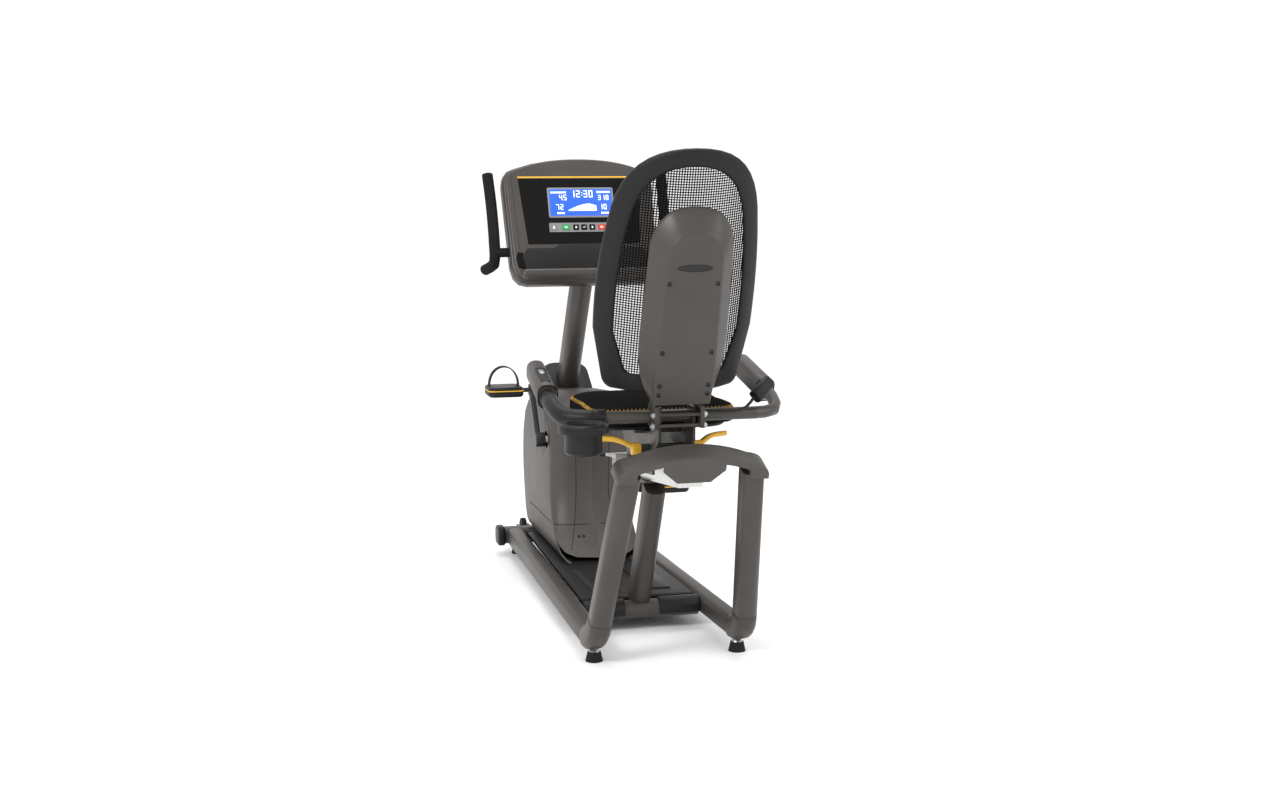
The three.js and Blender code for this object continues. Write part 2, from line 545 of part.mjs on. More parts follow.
function consoleHead() {
  const shell = prism(consoleOutline(0), CONSOLE.depth, 14, 3).translate(0, 0, -CONSOLE.depth);
  const hollow = prism(consoleOutline(8), CONSOLE.depth - 6, 8, 3).translate(0, 0, -CONSOLE.depth + 9);
  const cross = rodX(BAR.cross + GAP, -300, 300, BAR.bottom + 26, -BAR.back, 20);
  add("console_shell", cut(onConsole(cut(shell, hollow, cross)), mastSolid(GAP, 0, MAST.length + 180)),
    BRONZE);
  let bezel = prism(consoleOutline(BEZEL.inset), BEZEL.thick, 5, 3).translate(0, 0, GAP);
  const lip = prism(rounded(2 * CONSOLE.half_width - 70, 38, 14), BEZEL.lip, 8, 3);
  lip.translate(0, CONSOLE.bottom + 30, 2);
  const face = block(2 * (WINDOW.half_width + GAP), WINDOW.top - WINDOW.bottom + 2 * GAP, 20, 0,
    (WINDOW.top + WINDOW.bottom) / 2, 18);
  bezel = cut(join(bezel, lip), face);
  const pockets = [];
  KEY_X.forEach((x, i) => pockets.push(block(KEY_WIDTH[i] + 1, KEY.height + 1, 30, x, KEY.y, 12)));
  add("console_bezel", onConsole(cut(bezel, ...pockets)), BRONZE);
  const glass = block(2 * WINDOW.half_width, WINDOW.top - WINDOW.bottom, WINDOW.thick, 0,
    (WINDOW.top + WINDOW.bottom) / 2, 8 + GAP + WINDOW.thick / 2);
  add("display_window", onConsole(cut(glass, ...pockets)), GLOSS);
  const names = ["profile_key", "start_key", "down_key", "enter_key", "up_key", "stop_key"];
  const colours = [GREY, GREEN, BLACK, BLACK, BLACK, RED];
  names.forEach((name, i) => {
    const cap = prism(rounded(KEY_WIDTH[i], KEY.height, 3), KEY.thick, 1, 2, 1);
    add(name, onConsole(cap.translate(KEY_X[i], KEY.y,
      8 + GAP + WINDOW.thick + KEY.travel - KEY.thick + 1)), colours[i]);
  });
}

function handlebar() {
  const low = BAR.bottom;
  const parts = [rodX(BAR.cross, -BAR.reach, BAR.reach, low + 26, -BAR.back, 20)];
  for (const side of [-1, 1]) {
    const x = side * BAR.reach;
    const way = new THREE.CatmullRomCurve3([
      vec(x + side * 4, BAR.top, -BAR.back - 4), vec(x, 0, -BAR.back), vec(x, low + 40, -BAR.back),
      vec(x, low, -BAR.back - 20), vec(x + side * BAR.flare, low - 2, -BAR.back - BAR.forward),
    ]);
    parts.push(sweep(circle(BAR.radius), way, 12, 5));
  }
  add("handlebar", onConsole(join(...parts)), SOFT_BLACK);
}

// ---- seat ----
function carriage() {
  const { front_y, rear_y, width, plate, wall, hang } = CARRIAGE;
  const slope = (y, off) => vec(0, y, railTop(y) + off);
  const deck = bar(rounded(width, plate, 1), slope(front_y, RUN + plate / 2), slope(rear_y,
    RUN + plate / 2), vec(0, 0, 1), 1);
  const parts = [deck];
  for (const side of [-1, 1]) {
    const x = side * (width / 2 - wall / 2);
    const skirt = bar(rounded(wall, hang + 6, 1), slope(front_y, -hang / 2 + 3), slope(rear_y,
      -hang / 2 + 3), vec(0, 0, 1), 1);
    parts.push(skirt.translate(x, 0, 0));
    const cheek = outline([
      [front_y + 60, railTop(front_y + 60) + 4], [rear_y - 90, railTop(rear_y - 90) + 4], [rear_y - 6,
        SEAT_Z - 23], [ARM.y + 27, ARM.z + 25],
      [ARM.y - 24, ARM.z + 25], [ARM.y - 62, SEAT_Z - 13], [front_y - 30, SEAT_Z - 13], [front_y - 30,
        SEAT_Z - 23],
    ]);
    parts.push(upright(prism(cheek, wall)).translate(side * CARRIAGE.cheek_x - wall / 2, 0, 0));
  }
  const bed = block(150, 250, 8, 0, front_y + 118, SEAT_Z - 17);
  const shaft = rodX(LEVER.shaft + RUN, -100, 100, LEVER.y, LEVER.z, 20);
  const tube = rodX(ARM.radius + GAP, -200, 200, ARM.y, ARM.z, 20);
  add("seat_carriage", cut(join(...parts, bed), shaft, tube), BRONZE);
}

function seatPad() {
  const plan = (inset) => {
    const shape = rounded(CUSHION.width - 2 * inset, CUSHION.rear_y - CUSHION.front_y - 2 * inset,
      CUSHION.corner - inset / 2);
    return shape;
  };
  const middle = (CUSHION.rear_y + CUSHION.front_y) / 2;
  const pan = prism(plan(PAN.inset), PAN.thick, 2, 4, 1).translate(0, middle, SEAT_Z - PAN.thick - GAP);
  add("seat_pan", pan, BLACK);
  const pad = prism(plan(0), CUSHION.thick, 14, 3, 2).translate(0, middle, SEAT_Z);
  add("seat_cushion", pad, SOFT_BLACK);
}

function armCurve(side) {
  return new THREE.CatmullRomCurve3([
    vec(side * (ARM.bend_x - 24), ARM.y, ARM.z), vec(side * ARM.bend_x, ARM.y, ARM.z),
    vec(side * (ARM.side_x - 16), ARM.y - 34, ARM.z + 3), vec(side * ARM.side_x, ARM.y - 96, ARM.z + 22),
    vec(side * (ARM.side_x - 1), ARM.y - 48 - ARM.reach / 2, ARM.z + 11 + ARM.rise / 2),
    vec(side * ARM.end_x, ARM.y - ARM.reach, ARM.z + ARM.rise),
  ]);
}

function arms() {
  const tubes = [-1, 1].map((side) => sweep(circle(ARM.radius), armCurve(side), 10, 6));
  const middle = rodX(ARM.radius, -ARM.bend_x + 10, ARM.bend_x - 10, ARM.y, ARM.z, 16);
  add("arm_tube", join(middle, ...tubes), BRONZE);
  for (const [side, name] of [[1, "left"], [-1, "right"]]) {
    const path = armCurve(side);
    const from = path.getPointAt(GRIP.start);
    const to = path.getPointAt(1);
    const way = to.clone().sub(from).normalize();
    const end = to.clone().addScaledVector(way, 14);
    const sleeve = bar(rounded(GRIP.width, GRIP.height, GRIP.corner), from, end, vec(0, 0, 1));
    const bore = sweep(circle(ARM.radius + GAP + 0.4), armCurve(side), 10, 6);
    const tip = bar(circle(ARM.radius + GAP), to.clone().addScaledVector(way, -3),
      to.clone().addScaledVector(way, 1), vec(0, 0, 1), 8);
    const pocket = bar(rounded(20, 24, 5), end.clone().addScaledVector(way, -7),
      end.clone().addScaledVector(way, 5));
    add("grip_" + name, cut(sleeve, bore, tip, ...(side > 0 ? [pocket] : [])), BRONZE);
    if (side > 0) {
      const key = bar(rounded(18, 22, 4), end.clone().addScaledVector(way, -4),
        end.clone().addScaledVector(way, 3));
      add("grip_key", key, YELLOW);
    }
  }
}

function cupHolder() {
  const { ring, ring_height: rh, cup, depth, wall, top_z } = CUP;
  const profile = [[0, 0], [cup - 5, 0], [cup, 6], [cup, depth - rh], [ring, depth - rh], [ring, depth - 6],
    [ring - 8, depth], [cup + 2, depth], [cup - wall, depth - 8], [cup - wall - 2, wall], [0, wall]];
  const bowl = new THREE.LatheGeometry(profile.map(([x, y]) => new THREE.Vector2(x, y)), 20);
  bowl.rotateX(Math.PI / 2).translate(CUP.x, CUP.y, top_z - depth);
  const clamp = rodX(ARM.radius + 7, ARM.bend_x - 44, ARM.bend_x - 14, ARM.y, ARM.z, 20);
  const web = block(30, CUP.y - ARM.y - ring + 16, 18, ARM.bend_x - 29,
    (ARM.y + CUP.y - ring + 12) / 2 + 4, top_z - 13);
  const tube = rodX(ARM.radius + GAP, 0, ARM.bend_x + 20, ARM.y, ARM.z, 20);
  const sweepCut = sweep(circle(ARM.radius + GAP + 0.4), armCurve(1), 10, 6);
  add("cup_holder", cut(join(bowl, clamp, web), tube, sweepCut), BLACK);
}

// ---- seat back ----
// Back drawings are in (x, up the back); z grows rearwards out of it.
const onBack = (geometry) =>
  geometry.rotateX(rad(90 + RECLINE)).rotateZ(Math.PI).translate(0, BACK.foot_y, BACK.foot_z);

function backOutline(inset, kind = THREE.Shape) {
  const w = BACK.half_width - inset;
  const low = inset;
  const high = BACK.height - inset;
  const s = new kind();
  s.moveTo(-w + 52, low);
  s.lineTo(w - 52, low);
  s.quadraticCurveTo(w - 34, low, w - 28, low + 24);
  s.lineTo(w - 2, 150);
  s.quadraticCurveTo(w + 4, 300, w - 20, 440);
  s.quadraticCurveTo(w - 36, high, 0, high);
  s.quadraticCurveTo(-w + 36, high, -w + 20, 440);
  s.quadraticCurveTo(-w - 4, 300, -w + 2, 150);
  s.lineTo(-w + 28, low + 24);
  s.quadraticCurveTo(-w + 34, low, -w + 52, low);
  return s;
}

// Bends a flat panel so that its sides come forward round the rider.
function wrap(geometry) {
  const pos = geometry.attributes.position;
  for (let i = 0; i < pos.count; i++) {
    const share = pos.getX(i) / BACK.half_width;
    pos.setZ(i, pos.getZ(i) - BACK.wrap * share * share);
  }
  return geometry;
}

// Cuts a panel into upright strips, so that it has edges to bend along.
function strips(geometry, count) {
  let solid = toSolid(geometry);
  const step = (2 * BACK.half_width) / count;
  let out = null;
  for (let i = 0; i < count; i++) {
    const band = toSolid(block(step, 1000, 400, -BACK.half_width + (i + 0.5) * step, 300, 0));
    const strip = solid.intersect(band);
    out = out ? out.concat([strip]) : [strip];
  }
  return out;
}

function wrapped(geometry, count) {
  const bent = strips(geometry, count).map((strip) => toSolid(wrap(toGeometry(strip))));
  return toGeometry(bent.reduce((a, b) => a.add(b)));
}

function seatBack() {
  const frame = backOutline(0);
  frame.holes.push(backOutline(BACK.rim, THREE.Path));
  add("back_frame", onBack(wrapped(prism(frame, BACK.thick, 0, 6).translate(0, 0, -BACK.thick), 12)),
    BLACK);
  const panel = prism(backOutline(BACK.rim + 1), 5, 0, 6).translate(0, 0, -BACK.thick / 2 - 2.5);
  add("back_mesh", onBack(wrapped(panel, 12)), SOFT_BLACK);
  // The cover is a raised panel whose shoulders fall away to the mesh at the sides and the top.
  const c = COVER;
  const ring = (half, foot, high, n, arch) => {
    const line = new THREE.Shape();
    line.moveTo(-foot, c.foot);
    line.lineTo(foot, c.foot);
    line.lineTo(half, 0.3 * high);
    line.lineTo(half - arch, high - half);
    line.quadraticCurveTo(half - arch, high, 0, high);
    line.quadraticCurveTo(-half + arch, high, -half + arch, high - half);
    line.lineTo(-half, 0.3 * high);
    return line.getPoints(6).slice(0, -1).map((q) => vec(q.x, q.y, n));
  };
  const cover = loft([
    ring(c.half_width - 6, c.foot_half - 6, c.height - 6, c.front, 8),
    ring(c.half_width, c.foot_half, c.height, c.front + 6, 8),
    ring(c.half_width - 14, c.foot_half, c.height - 12, c.front + 24, 8),
    ring(c.panel + 8, c.foot_half, c.height - 44, c.behind - 7, 4),
    ring(c.panel, c.foot_half - 5, c.height - 52, c.behind, 4),
  ]);
  add("back_cover", onBack(cover), BRONZE);
}

function backBracket() {
  const parts = [];
  for (const side of [-1, 1]) {
    const { x, width, depth, top } = UPRIGHT;
    const strip = block(width, top, depth, side * x, top / 2 - 25, COVER.front - GAP - depth / 2);
    parts.push(onBack(strip));
  }
  for (const side of [-1, 1]) {
    const cheek = outline([
      [ARM.y - 20, ARM.z - 24], [ARM.y + 52, ARM.z - 26], [ARM.y + 54, ARM.z + 30],
      [ARM.y + 40, ARM.z + 38], [ARM.y + 12, ARM.z + 50], [ARM.y - 20, ARM.z + 24],
    ]);
    parts.push(upright(prism(cheek, UPRIGHT.width)).translate(side * UPRIGHT.x - UPRIGHT.width / 2, 0, 0));
  }
  const rods = [[ARM.y + 44, ARM.z + 8], [ARM.y + 40, ARM.z - 20]].map(([y, z]) => rodX(5, -UPRIGHT.x,
    UPRIGHT.x, y, z, 12));
  const tube = rodX(ARM.radius + RUN, -200, 200, ARM.y, ARM.z, 20);
  const across = (v, tall, thick) =>
    onBack(block(2 * UPRIGHT.x, tall, thick, 0, v, COVER.front - GAP - thick / 2));
  const straps = [across(22, 28, COVER.front - 2 * GAP), across(90, 26, 8), across(250, 26, 8)];
  const lever = rodX(RECLINE_LEVER.rod + RUN, -200, 0, RECLINE_LEVER.y, RECLINE_LEVER.z, 12);
  add("back_bracket", cut(join(...parts, ...rods, ...straps), tube, lever), BRONZE);
}

// ---- levers, wheels and feet ----
function levers() {
  add("lever_shaft", rodX(LEVER.shaft, -LEVER.hub_x, LEVER.hub_x, LEVER.y, LEVER.z, 20), BLACK);
  for (const [side, name] of [[1, "left"], [-1, "right"]]) {
    const path = new THREE.CatmullRomCurve3([
      vec(side * (LEVER.hub_x - 2), LEVER.y, LEVER.z), vec(side * (LEVER.hub_x + 18), LEVER.y - 12,
        LEVER.z + 12),
      vec(side * (LEVER.hub_x + 44), LEVER.y - 34, LEVER.z + LEVER.drop), vec(side * LEVER.tip_x,
        LEVER.y - 60, LEVER.z + LEVER.drop),
    ]);
    const blade = sweep(rounded(LEVER.section + 8, LEVER.section, 5), path, 7, 1);
    const hub = rodX(LEVER.shaft + 5, side * (LEVER.hub_x - 14), side * (LEVER.hub_x + 8), LEVER.y,
      LEVER.z, 20);
    const bore = rodX(LEVER.shaft + GAP, side * 40, side * (LEVER.hub_x + GAP), LEVER.y, LEVER.z, 20);
    add("position_lever_" + name, cut(join(blade, hub), bore), YELLOW);
  }
  const { y, z, rod, inner_x: a, outer_x: b, knob } = RECLINE_LEVER;
  const path = new THREE.CatmullRomCurve3([vec(a, y, z), vec(b, y, z), vec(b - 22, y - 8, z + 12),
    vec(b - 52, y - 30, z + 40)]);
  const handle = bar(rounded(2 * knob, 26, 9), vec(b - 42, y - 22, z + 26), vec(b - 88, y - 50, z + 62),
    vec(0, 1, 0));
  add("recline_lever", join(sweep(circle(rod), path, 10, 4), handle), BLACK);
}

function wheel(side, name) {
  const { x, y, z, radius, width, axle } = WHEEL;
  const tyre = rodX(radius, side * x - width / 2 + 4, side * x + width / 2 - 4, y, z, 28);
  add("transport_wheel_" + name, cut(tyre, rodX(axle + RUN, -300, 300, y, z, 12)), BLACK);
}

function foot(x, y, name, socket) {
  const pad = rodZ(FOOT.radius, x, y, 0, FOOT.height, 24, FOOT.radius - 6);
  const stem = rodZ(FOOT.stem, x, y, FOOT.height - 2, socket, 14);
  add(name, join(pad, stem), BLACK);
}

for (const [side, name] of [[1, "left"], [-1, "right"]]) {
  sideFrame(side, name);
  crankArm(side, name);
  pedal(side, name);
  wheel(side, name);
  foot(side * FOOT.rear_x, REAR_FOOT_Y, "rear_foot_" + name, REAR_STEM_TOP);
  foot(side * FOOT.front_x, FRONT_FOOT_Y, "front_foot_" + name, FRONT_STEM_TOP);
}
frontTube();
crossTube();
centrePost();
seatRail();
archCover();
shrouds();
driveBracket();
drive();
consoleHead();
handlebar();
carriage();
seatPad();
arms();
cupHolder();
seatBack();
backBracket();
levers();

export default bike;
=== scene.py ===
import math

import bmesh
import bpy
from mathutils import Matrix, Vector
from mathutils.bvhtree import BVHTree


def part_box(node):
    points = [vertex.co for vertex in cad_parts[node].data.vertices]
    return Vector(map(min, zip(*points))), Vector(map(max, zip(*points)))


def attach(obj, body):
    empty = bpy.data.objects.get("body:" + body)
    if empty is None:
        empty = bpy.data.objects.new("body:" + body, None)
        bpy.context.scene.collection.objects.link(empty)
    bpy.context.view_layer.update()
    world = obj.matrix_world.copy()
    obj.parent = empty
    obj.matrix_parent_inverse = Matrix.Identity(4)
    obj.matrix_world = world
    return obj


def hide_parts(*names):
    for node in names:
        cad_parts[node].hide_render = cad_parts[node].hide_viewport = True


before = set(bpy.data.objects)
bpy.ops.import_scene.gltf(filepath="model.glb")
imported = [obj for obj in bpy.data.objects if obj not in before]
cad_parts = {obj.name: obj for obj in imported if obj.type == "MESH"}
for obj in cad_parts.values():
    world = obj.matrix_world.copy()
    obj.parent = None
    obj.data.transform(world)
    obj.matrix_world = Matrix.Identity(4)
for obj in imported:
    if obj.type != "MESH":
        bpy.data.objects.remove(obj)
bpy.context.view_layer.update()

# ---- the room ----
# A pale seamless floor with one large soft light above and two weaker ones beside it, and a
# long lens held at head height, behind the seat and a little to the rider's left.
floor_mesh = bpy.data.meshes.new("floor")
sheet = bmesh.new()
bmesh.ops.create_grid(sheet, x_segments=2, y_segments=2, size=30)
sheet.to_mesh(floor_mesh)
sheet.free()
floor = bpy.data.objects.new("floor", floor_mesh)
bpy.context.scene.collection.objects.link(floor)
floor_paint = bpy.data.materials.new("floor_paint")
floor_paint.use_nodes = True
floor_shader = floor_paint.node_tree.nodes["Principled BSDF"]
floor_shader.inputs["Base Color"].default_value = (0.96, 0.96, 0.96, 1)
floor_shader.inputs["Roughness"].default_value = 0.6
floor_mesh.materials.append(floor_paint)


def soft_light(name, place, aim, size, power):
    data = bpy.data.lights.new(name, "AREA")
    data.shape = "DISK"
    data.size = size
    data.energy = power
    lamp = bpy.data.objects.new(name, data)
    lamp.location = place
    lamp.rotation_euler = (Vector(aim) - Vector(place)).to_track_quat("-Z", "Y").to_euler()
    bpy.context.scene.collection.objects.link(lamp)


soft_light("key_light", (3.4, 3.2, 3.6), (0, 0, 0.6), 1.4, 135)
soft_light("fill_light", (-3.6, 2.6, 2.4), (0, 0, 0.6), 2.6, 40)
soft_light("top_light", (0, -0.6, 4.4), (0, 0, 0.4), 2.4, 60)

world = bpy.data.worlds.new("studio")
world.use_nodes = True
world.node_tree.nodes["Background"].inputs["Color"].default_value = (1, 1, 1, 1)
world.node_tree.nodes["Background"].inputs["Strength"].default_value = 1.06
bpy.context.scene.world = world
bpy.context.scene.view_settings.view_transform = "Standard"

camera_data = bpy.data.cameras.new("camera")
camera_data.lens = 50
camera_data.sensor_width = 36
camera = bpy.data.objects.new("camera", camera_data)
camera.location = (1.180, 4.828, 1.287)
camera.rotation_euler = (math.radians(90 - 7.94), 0, math.radians(180 - 14.47))
bpy.context.scene.collection.objects.link(camera)
bpy.context.scene.camera = camera


# ---- the welded base frame ----
# Flat-oval steel tube, bent, welded and sprayed in a warm bronze-grey satin paint with a fine
# metal fleck. The same paint is on the mast, the arms, the shrouds and the seat brackets.
def finish(name, colour, other, roughness, metallic=0.0, fleck=400, patch=6, bump=0.05, sheen=0.0, coat=0.0,
           spread=0.08, specular=0.5):
    """A moulded or sprayed surface: slow patches of shade, a fine grain, and a grain bump."""
    material = bpy.data.materials.new(name)
    material.use_nodes = True
    nodes, links = material.node_tree.nodes, material.node_tree.links
    shader = nodes["Principled BSDF"]
    shader.inputs["Metallic"].default_value = metallic
    shader.inputs["Sheen Weight"].default_value = sheen
    shader.inputs["Specular IOR Level"].default_value = specular
    shader.inputs["Coat Weight"].default_value = coat
    place = nodes.new("ShaderNodeTexCoord")
    turn = nodes.new("ShaderNodeMapping")
    links.new(place.outputs["Object"], turn.inputs["Vector"])
    grain = nodes.new("ShaderNodeTexNoise")
    grain.inputs["Scale"].default_value = fleck
    grain.inputs["Detail"].default_value = 3
    cloud = nodes.new("ShaderNodeTexNoise")
    cloud.inputs["Scale"].default_value = patch
    cloud.inputs["Detail"].default_value = 4
    for texture in (grain, cloud):
        links.new(turn.outputs["Vector"], texture.inputs["Vector"])
    blend = nodes.new("ShaderNodeMath")
    blend.operation = "MULTIPLY_ADD"
    blend.inputs[1].default_value = 0.55
    links.new(grain.outputs["Fac"], blend.inputs[0])
    half = nodes.new("ShaderNodeMath")
    half.operation = "MULTIPLY"
    half.inputs[1].default_value = 0.45
    links.new(cloud.outputs["Fac"], half.inputs[0])
    links.new(half.outputs[0], blend.inputs[2])
    ramp = nodes.new("ShaderNodeValToRGB")
    ramp.color_ramp.elements[0].position = 0.32
    ramp.color_ramp.elements[0].color = (*colour, 1)
    ramp.color_ramp.elements[1].position = 0.68
    ramp.color_ramp.elements[1].color = (*other, 1)
    links.new(blend.outputs[0], ramp.inputs["Fac"])
    links.new(ramp.outputs["Color"], shader.inputs["Base Color"])
    gloss = nodes.new("ShaderNodeMapRange")
    gloss.inputs["To Min"].default_value = roughness - spread
    gloss.inputs["To Max"].default_value = roughness + spread
    links.new(cloud.outputs["Fac"], gloss.inputs["Value"])
    links.new(gloss.outputs["Result"], shader.inputs["Roughness"])
    relief = nodes.new("ShaderNodeBump")
    relief.inputs["Strength"].default_value = bump
    relief.inputs["Distance"].default_value = 0.0006
    links.new(grain.outputs["Fac"], relief.inputs["Height"])
    links.new(relief.outputs["Normal"], shader.inputs["Normal"])
    return material


bronze_paint = finish("bronze_paint", (0.040, 0.0345, 0.031), (0.062, 0.0545, 0.049), 0.42, metallic=0.35, fleck=900,
                      bump=0.12)


def dress(names, material, bevel=0.0012, angle=34):
    """Gives CAD nodes their finish: triangles welded, arrises eased, and round stretches shaded smooth."""
    for name in names:
        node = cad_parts[name]
        node.data.materials.clear()
        node.data.materials.append(material)
        for polygon in node.data.polygons:
            polygon.use_smooth = True
        weld = node.modifiers.new("weld", "WELD")
        weld.merge_threshold = 0.00002
        if bevel:
            ease = node.modifiers.new("ease", "BEVEL")
            ease.width = bevel
            ease.segments = 2
            ease.limit_method = "ANGLE"
            ease.angle_limit = math.radians(angle)
            ease.harden_normals = False
        split = node.modifiers.new("split", "EDGE_SPLIT")
        split.split_angle = math.radians(angle)


sides = ("left", "right")
tube_nodes = [part + "_" + side for part in ("side_rail", "rear_elbow", "rear_leg") for side in sides]
dress(tube_nodes + ["front_cross_tube", "rear_cross_tube", "centre_post", "mast"], bronze_paint)


# ---- mouldings on the base ----
# Injection-moulded black plastic with a light spark grain: caps over the front tube's ends, the
# tray that covers the gap between the rails, and the boot round the foot of the mast.
black_plastic = finish("black_plastic", (0.006, 0.006, 0.006), (0.012, 0.012, 0.012), 0.44, fleck=1400, bump=0.25, specular=0.22)
black_rubber = finish("black_rubber", (0.007, 0.007, 0.007), (0.013, 0.013, 0.013), 0.68, fleck=700, bump=0.3, specular=0.16)
dress(["end_cap_left", "end_cap_right", "footplate_tray", "mast_collar"], black_plastic)
dress(["rear_foot_" + side for side in sides] + ["front_foot_" + side for side in sides], black_rubber)
dress(["transport_wheel_" + side for side in sides], black_rubber, bevel=0.003)

# ---- machined and extruded metal ----
# The seat rail is a clear-anodised aluminium extrusion with drawing lines along it; the drive
# parts inside the shroud are bright turned steel.
brushed_rail = finish("brushed_rail", (0.50, 0.50, 0.49), (0.62, 0.62, 0.61), 0.34, metallic=0.9, fleck=220, bump=0.08)
turned_steel = finish("turned_steel", (0.32, 0.32, 0.32), (0.44, 0.44, 0.44), 0.32, metallic=0.95, fleck=300)
dark_metal = finish("dark_metal", (0.014, 0.014, 0.014), (0.026, 0.026, 0.026), 0.38, metallic=0.3, fleck=700, specular=0.35)
for texture in brushed_rail.node_tree.nodes:
    if texture.type == "MAPPING":
        texture.inputs["Scale"].default_value = (1, 0.04, 1)
dress(["seat_rail"], brushed_rail, bevel=0.0008)
dress(["drive_bracket", "crank_pulley", "flywheel"], turned_steel)
dress(["drive_belt"], black_rubber, bevel=0)
dress(["crank_arm_left", "crank_arm_right", "lever_shaft"], dark_metal)
dress(["seat_carriage", "back_bracket"], bronze_paint)
dress(["seat_pan"], black_plastic)

# ---- seat back: moulded rim ----
# One black glass-filled nylon hoop, shaped like a shoehorn and bent forward at its sides. The
# knit panel is stretched inside it and clipped into its inner edge.
def follow(path, steps):
    """Points along a path of (x, y) lines and (cx, cy, x, y) curves, without its last point twice."""
    out = []
    last = path[0]
    for leg in path[1:]:
        for k in range(steps):
            t = k / steps
            if len(leg) == 2:
                out.append((last[0] + (leg[0] - last[0]) * t, last[1] + (leg[1] - last[1]) * t))
            else:
                a, b, c = (1 - t) ** 2, 2 * t * (1 - t), t * t
                out.append((a * last[0] + b * leg[0] + c * leg[2], a * last[1] + b * leg[1] + c * leg[3]))
        last = leg[-2:]
    return out


def skin(rings, closed=True, capped=True, looped=False):
    """Quads between rings of points; capped ends get one face each, looped joins the last ring to the first."""
    bm = bmesh.new()
    rows = [[bm.verts.new(p) for p in ring] for ring in rings]
    n = len(rows[0])
    pairs = list(zip(rows, rows[1:])) + ([(rows[-1], rows[0])] if looped else [])
    for low, high in pairs:
        for i in range(n if closed else n - 1):
            j = (i + 1) % n
            bm.faces.new((low[i], low[j], high[j], high[i]))
    if capped and not looped:
        bm.faces.new(rows[0][::-1])
        bm.faces.new(rows[-1])
    return bm


def piece(name, bm, material, body, nodes=(), sharp=38):
    """Turns a bmesh into a shaded piece that rides on a body and stands for its CAD nodes."""
    bmesh.ops.remove_doubles(bm, verts=bm.verts, dist=1e-6)
    bmesh.ops.recalc_face_normals(bm, faces=bm.faces)
    mesh = bpy.data.meshes.new(name)
    bm.to_mesh(mesh)
    bm.free()
    mesh.polygons.foreach_set("use_smooth", [True] * len(mesh.polygons))
    mesh.set_sharp_from_angle(angle=math.radians(sharp))
    mesh.materials.append(material)
    made = bpy.data.objects.new(name, mesh)
    bpy.context.scene.collection.objects.link(made)
    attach(made, body)
    if nodes:
        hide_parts(*nodes)
    return made


recline = math.radians(18.4)
arm_axis = Vector((0, 0.608, 0.637))
back_foot = arm_axis + Vector((0, 0.009, 0.055))
back_half, back_wrap, back_height, rim_width = 0.205, 0.078, 0.634, 0.046


def on_back(x, v, n, wrap=True):
    """A point x across, v up and n behind the seat back; the panel's sides come forward as it widens."""
    if wrap:
        n -= back_wrap * (x / back_half) ** 2
    sin, cos = math.sin(recline), math.cos(recline)
    return Vector((-x, back_foot.y + v * sin + n * cos, back_foot.z + v * cos - n * sin))


def back_outline(inset, steps=10):
    w, low, high = back_half - inset, inset, back_height - inset
    half = [(w - 0.052, low), (w - 0.034, low, w - 0.028, low + 0.024), (w - 0.002, 0.150),
            (w + 0.004, 0.300, w - 0.016, 0.430), (w - 0.036, high, 0, high)]
    other = [(-w + 0.036, high, -w + 0.016, 0.430), (-w - 0.004, 0.300, -w + 0.002, 0.150), (-w + 0.028, low + 0.024),
             (-w + 0.034, low, -w + 0.052, low), half[0]]
    return follow(half + other, steps)


moulded_nylon = finish("moulded_nylon", (0.007, 0.007, 0.0073), (0.013, 0.013, 0.0135), 0.46, fleck=1500, bump=0.4, specular=0.2)
rim_section = [(0.0, -9), (0.0008, -4), (0.003, -1.6), (0.008, -0.4), (0.020, 0.8), (0.033, 0.2), (0.040, -2.0),
               (0.0445, -5.5), (0.046, -9.5), (0.0445, -14), (0.041, -17.5), (0.030, -19.4), (0.008, -19.6),
               (0.003, -18), (0.0008, -14)]
rim_rings = [[on_back(x, v, n / 1000) for x, v in back_outline(inset)] for inset, n in rim_section]
piece("back_rim", skin(rim_rings, looped=True), moulded_nylon, "seat_back", ["back_frame"], sharp=60)

# ---- seat back: knit panel ----
# A black warp-knit mesh, stretched flat across the hoop. Its square eyes are open, so the room
# behind shows through it; each cord is a round thread about 2.5 mm thick.
mesh_knit = finish("mesh_knit", (0.005, 0.005, 0.005), (0.010, 0.010, 0.010), 0.8, fleck=900, bump=0.4, specular=0.0)


def inside(point, ring):
    x, y = point
    hit = False
    for (ax, ay), (bx, by) in zip(ring, ring[1:] + ring[:1]):
        if (ay > y) != (by > y) and x < (bx - ax) * (y - ay) / (by - ay) + ax:
            hit = not hit
    return hit


eye = 0.0064
edge = back_outline(0.041)
columns = int(back_half / eye)
rows_up = int(back_height / eye)
knit = bmesh.new()
knots = {}
for i in range(-columns, columns + 1):
    for j in range(rows_up + 1):
        if inside((i * eye, j * eye), edge):
            knots[i, j] = knit.verts.new(on_back(i * eye, j * eye, -0.010))
for (i, j), corner in knots.items():
    ring = [knots.get(k) for k in ((i, j), (i + 1, j), (i + 1, j + 1), (i, j + 1))]
    if all(ring):
        knit.faces.new(ring)
bmesh.ops.delete(knit, geom=[v for v in knit.verts if not v.link_faces], context="VERTS")
knit_mesh = piece("back_knit", knit, mesh_knit, "seat_back", ["back_mesh"])
cords = knit_mesh.modifiers.new("cords", "WIREFRAME")
cords.thickness = 0.0040
cords.use_even_offset = False

# ---- seat back: rear cover ----
# A bronze-painted moulding: a flat raised panel with an arched top, and broad shoulders that fall
# away to the mesh. Eight domed black screws hold it, and a blank oval plate sits near its top.
cover_foot = 0.002


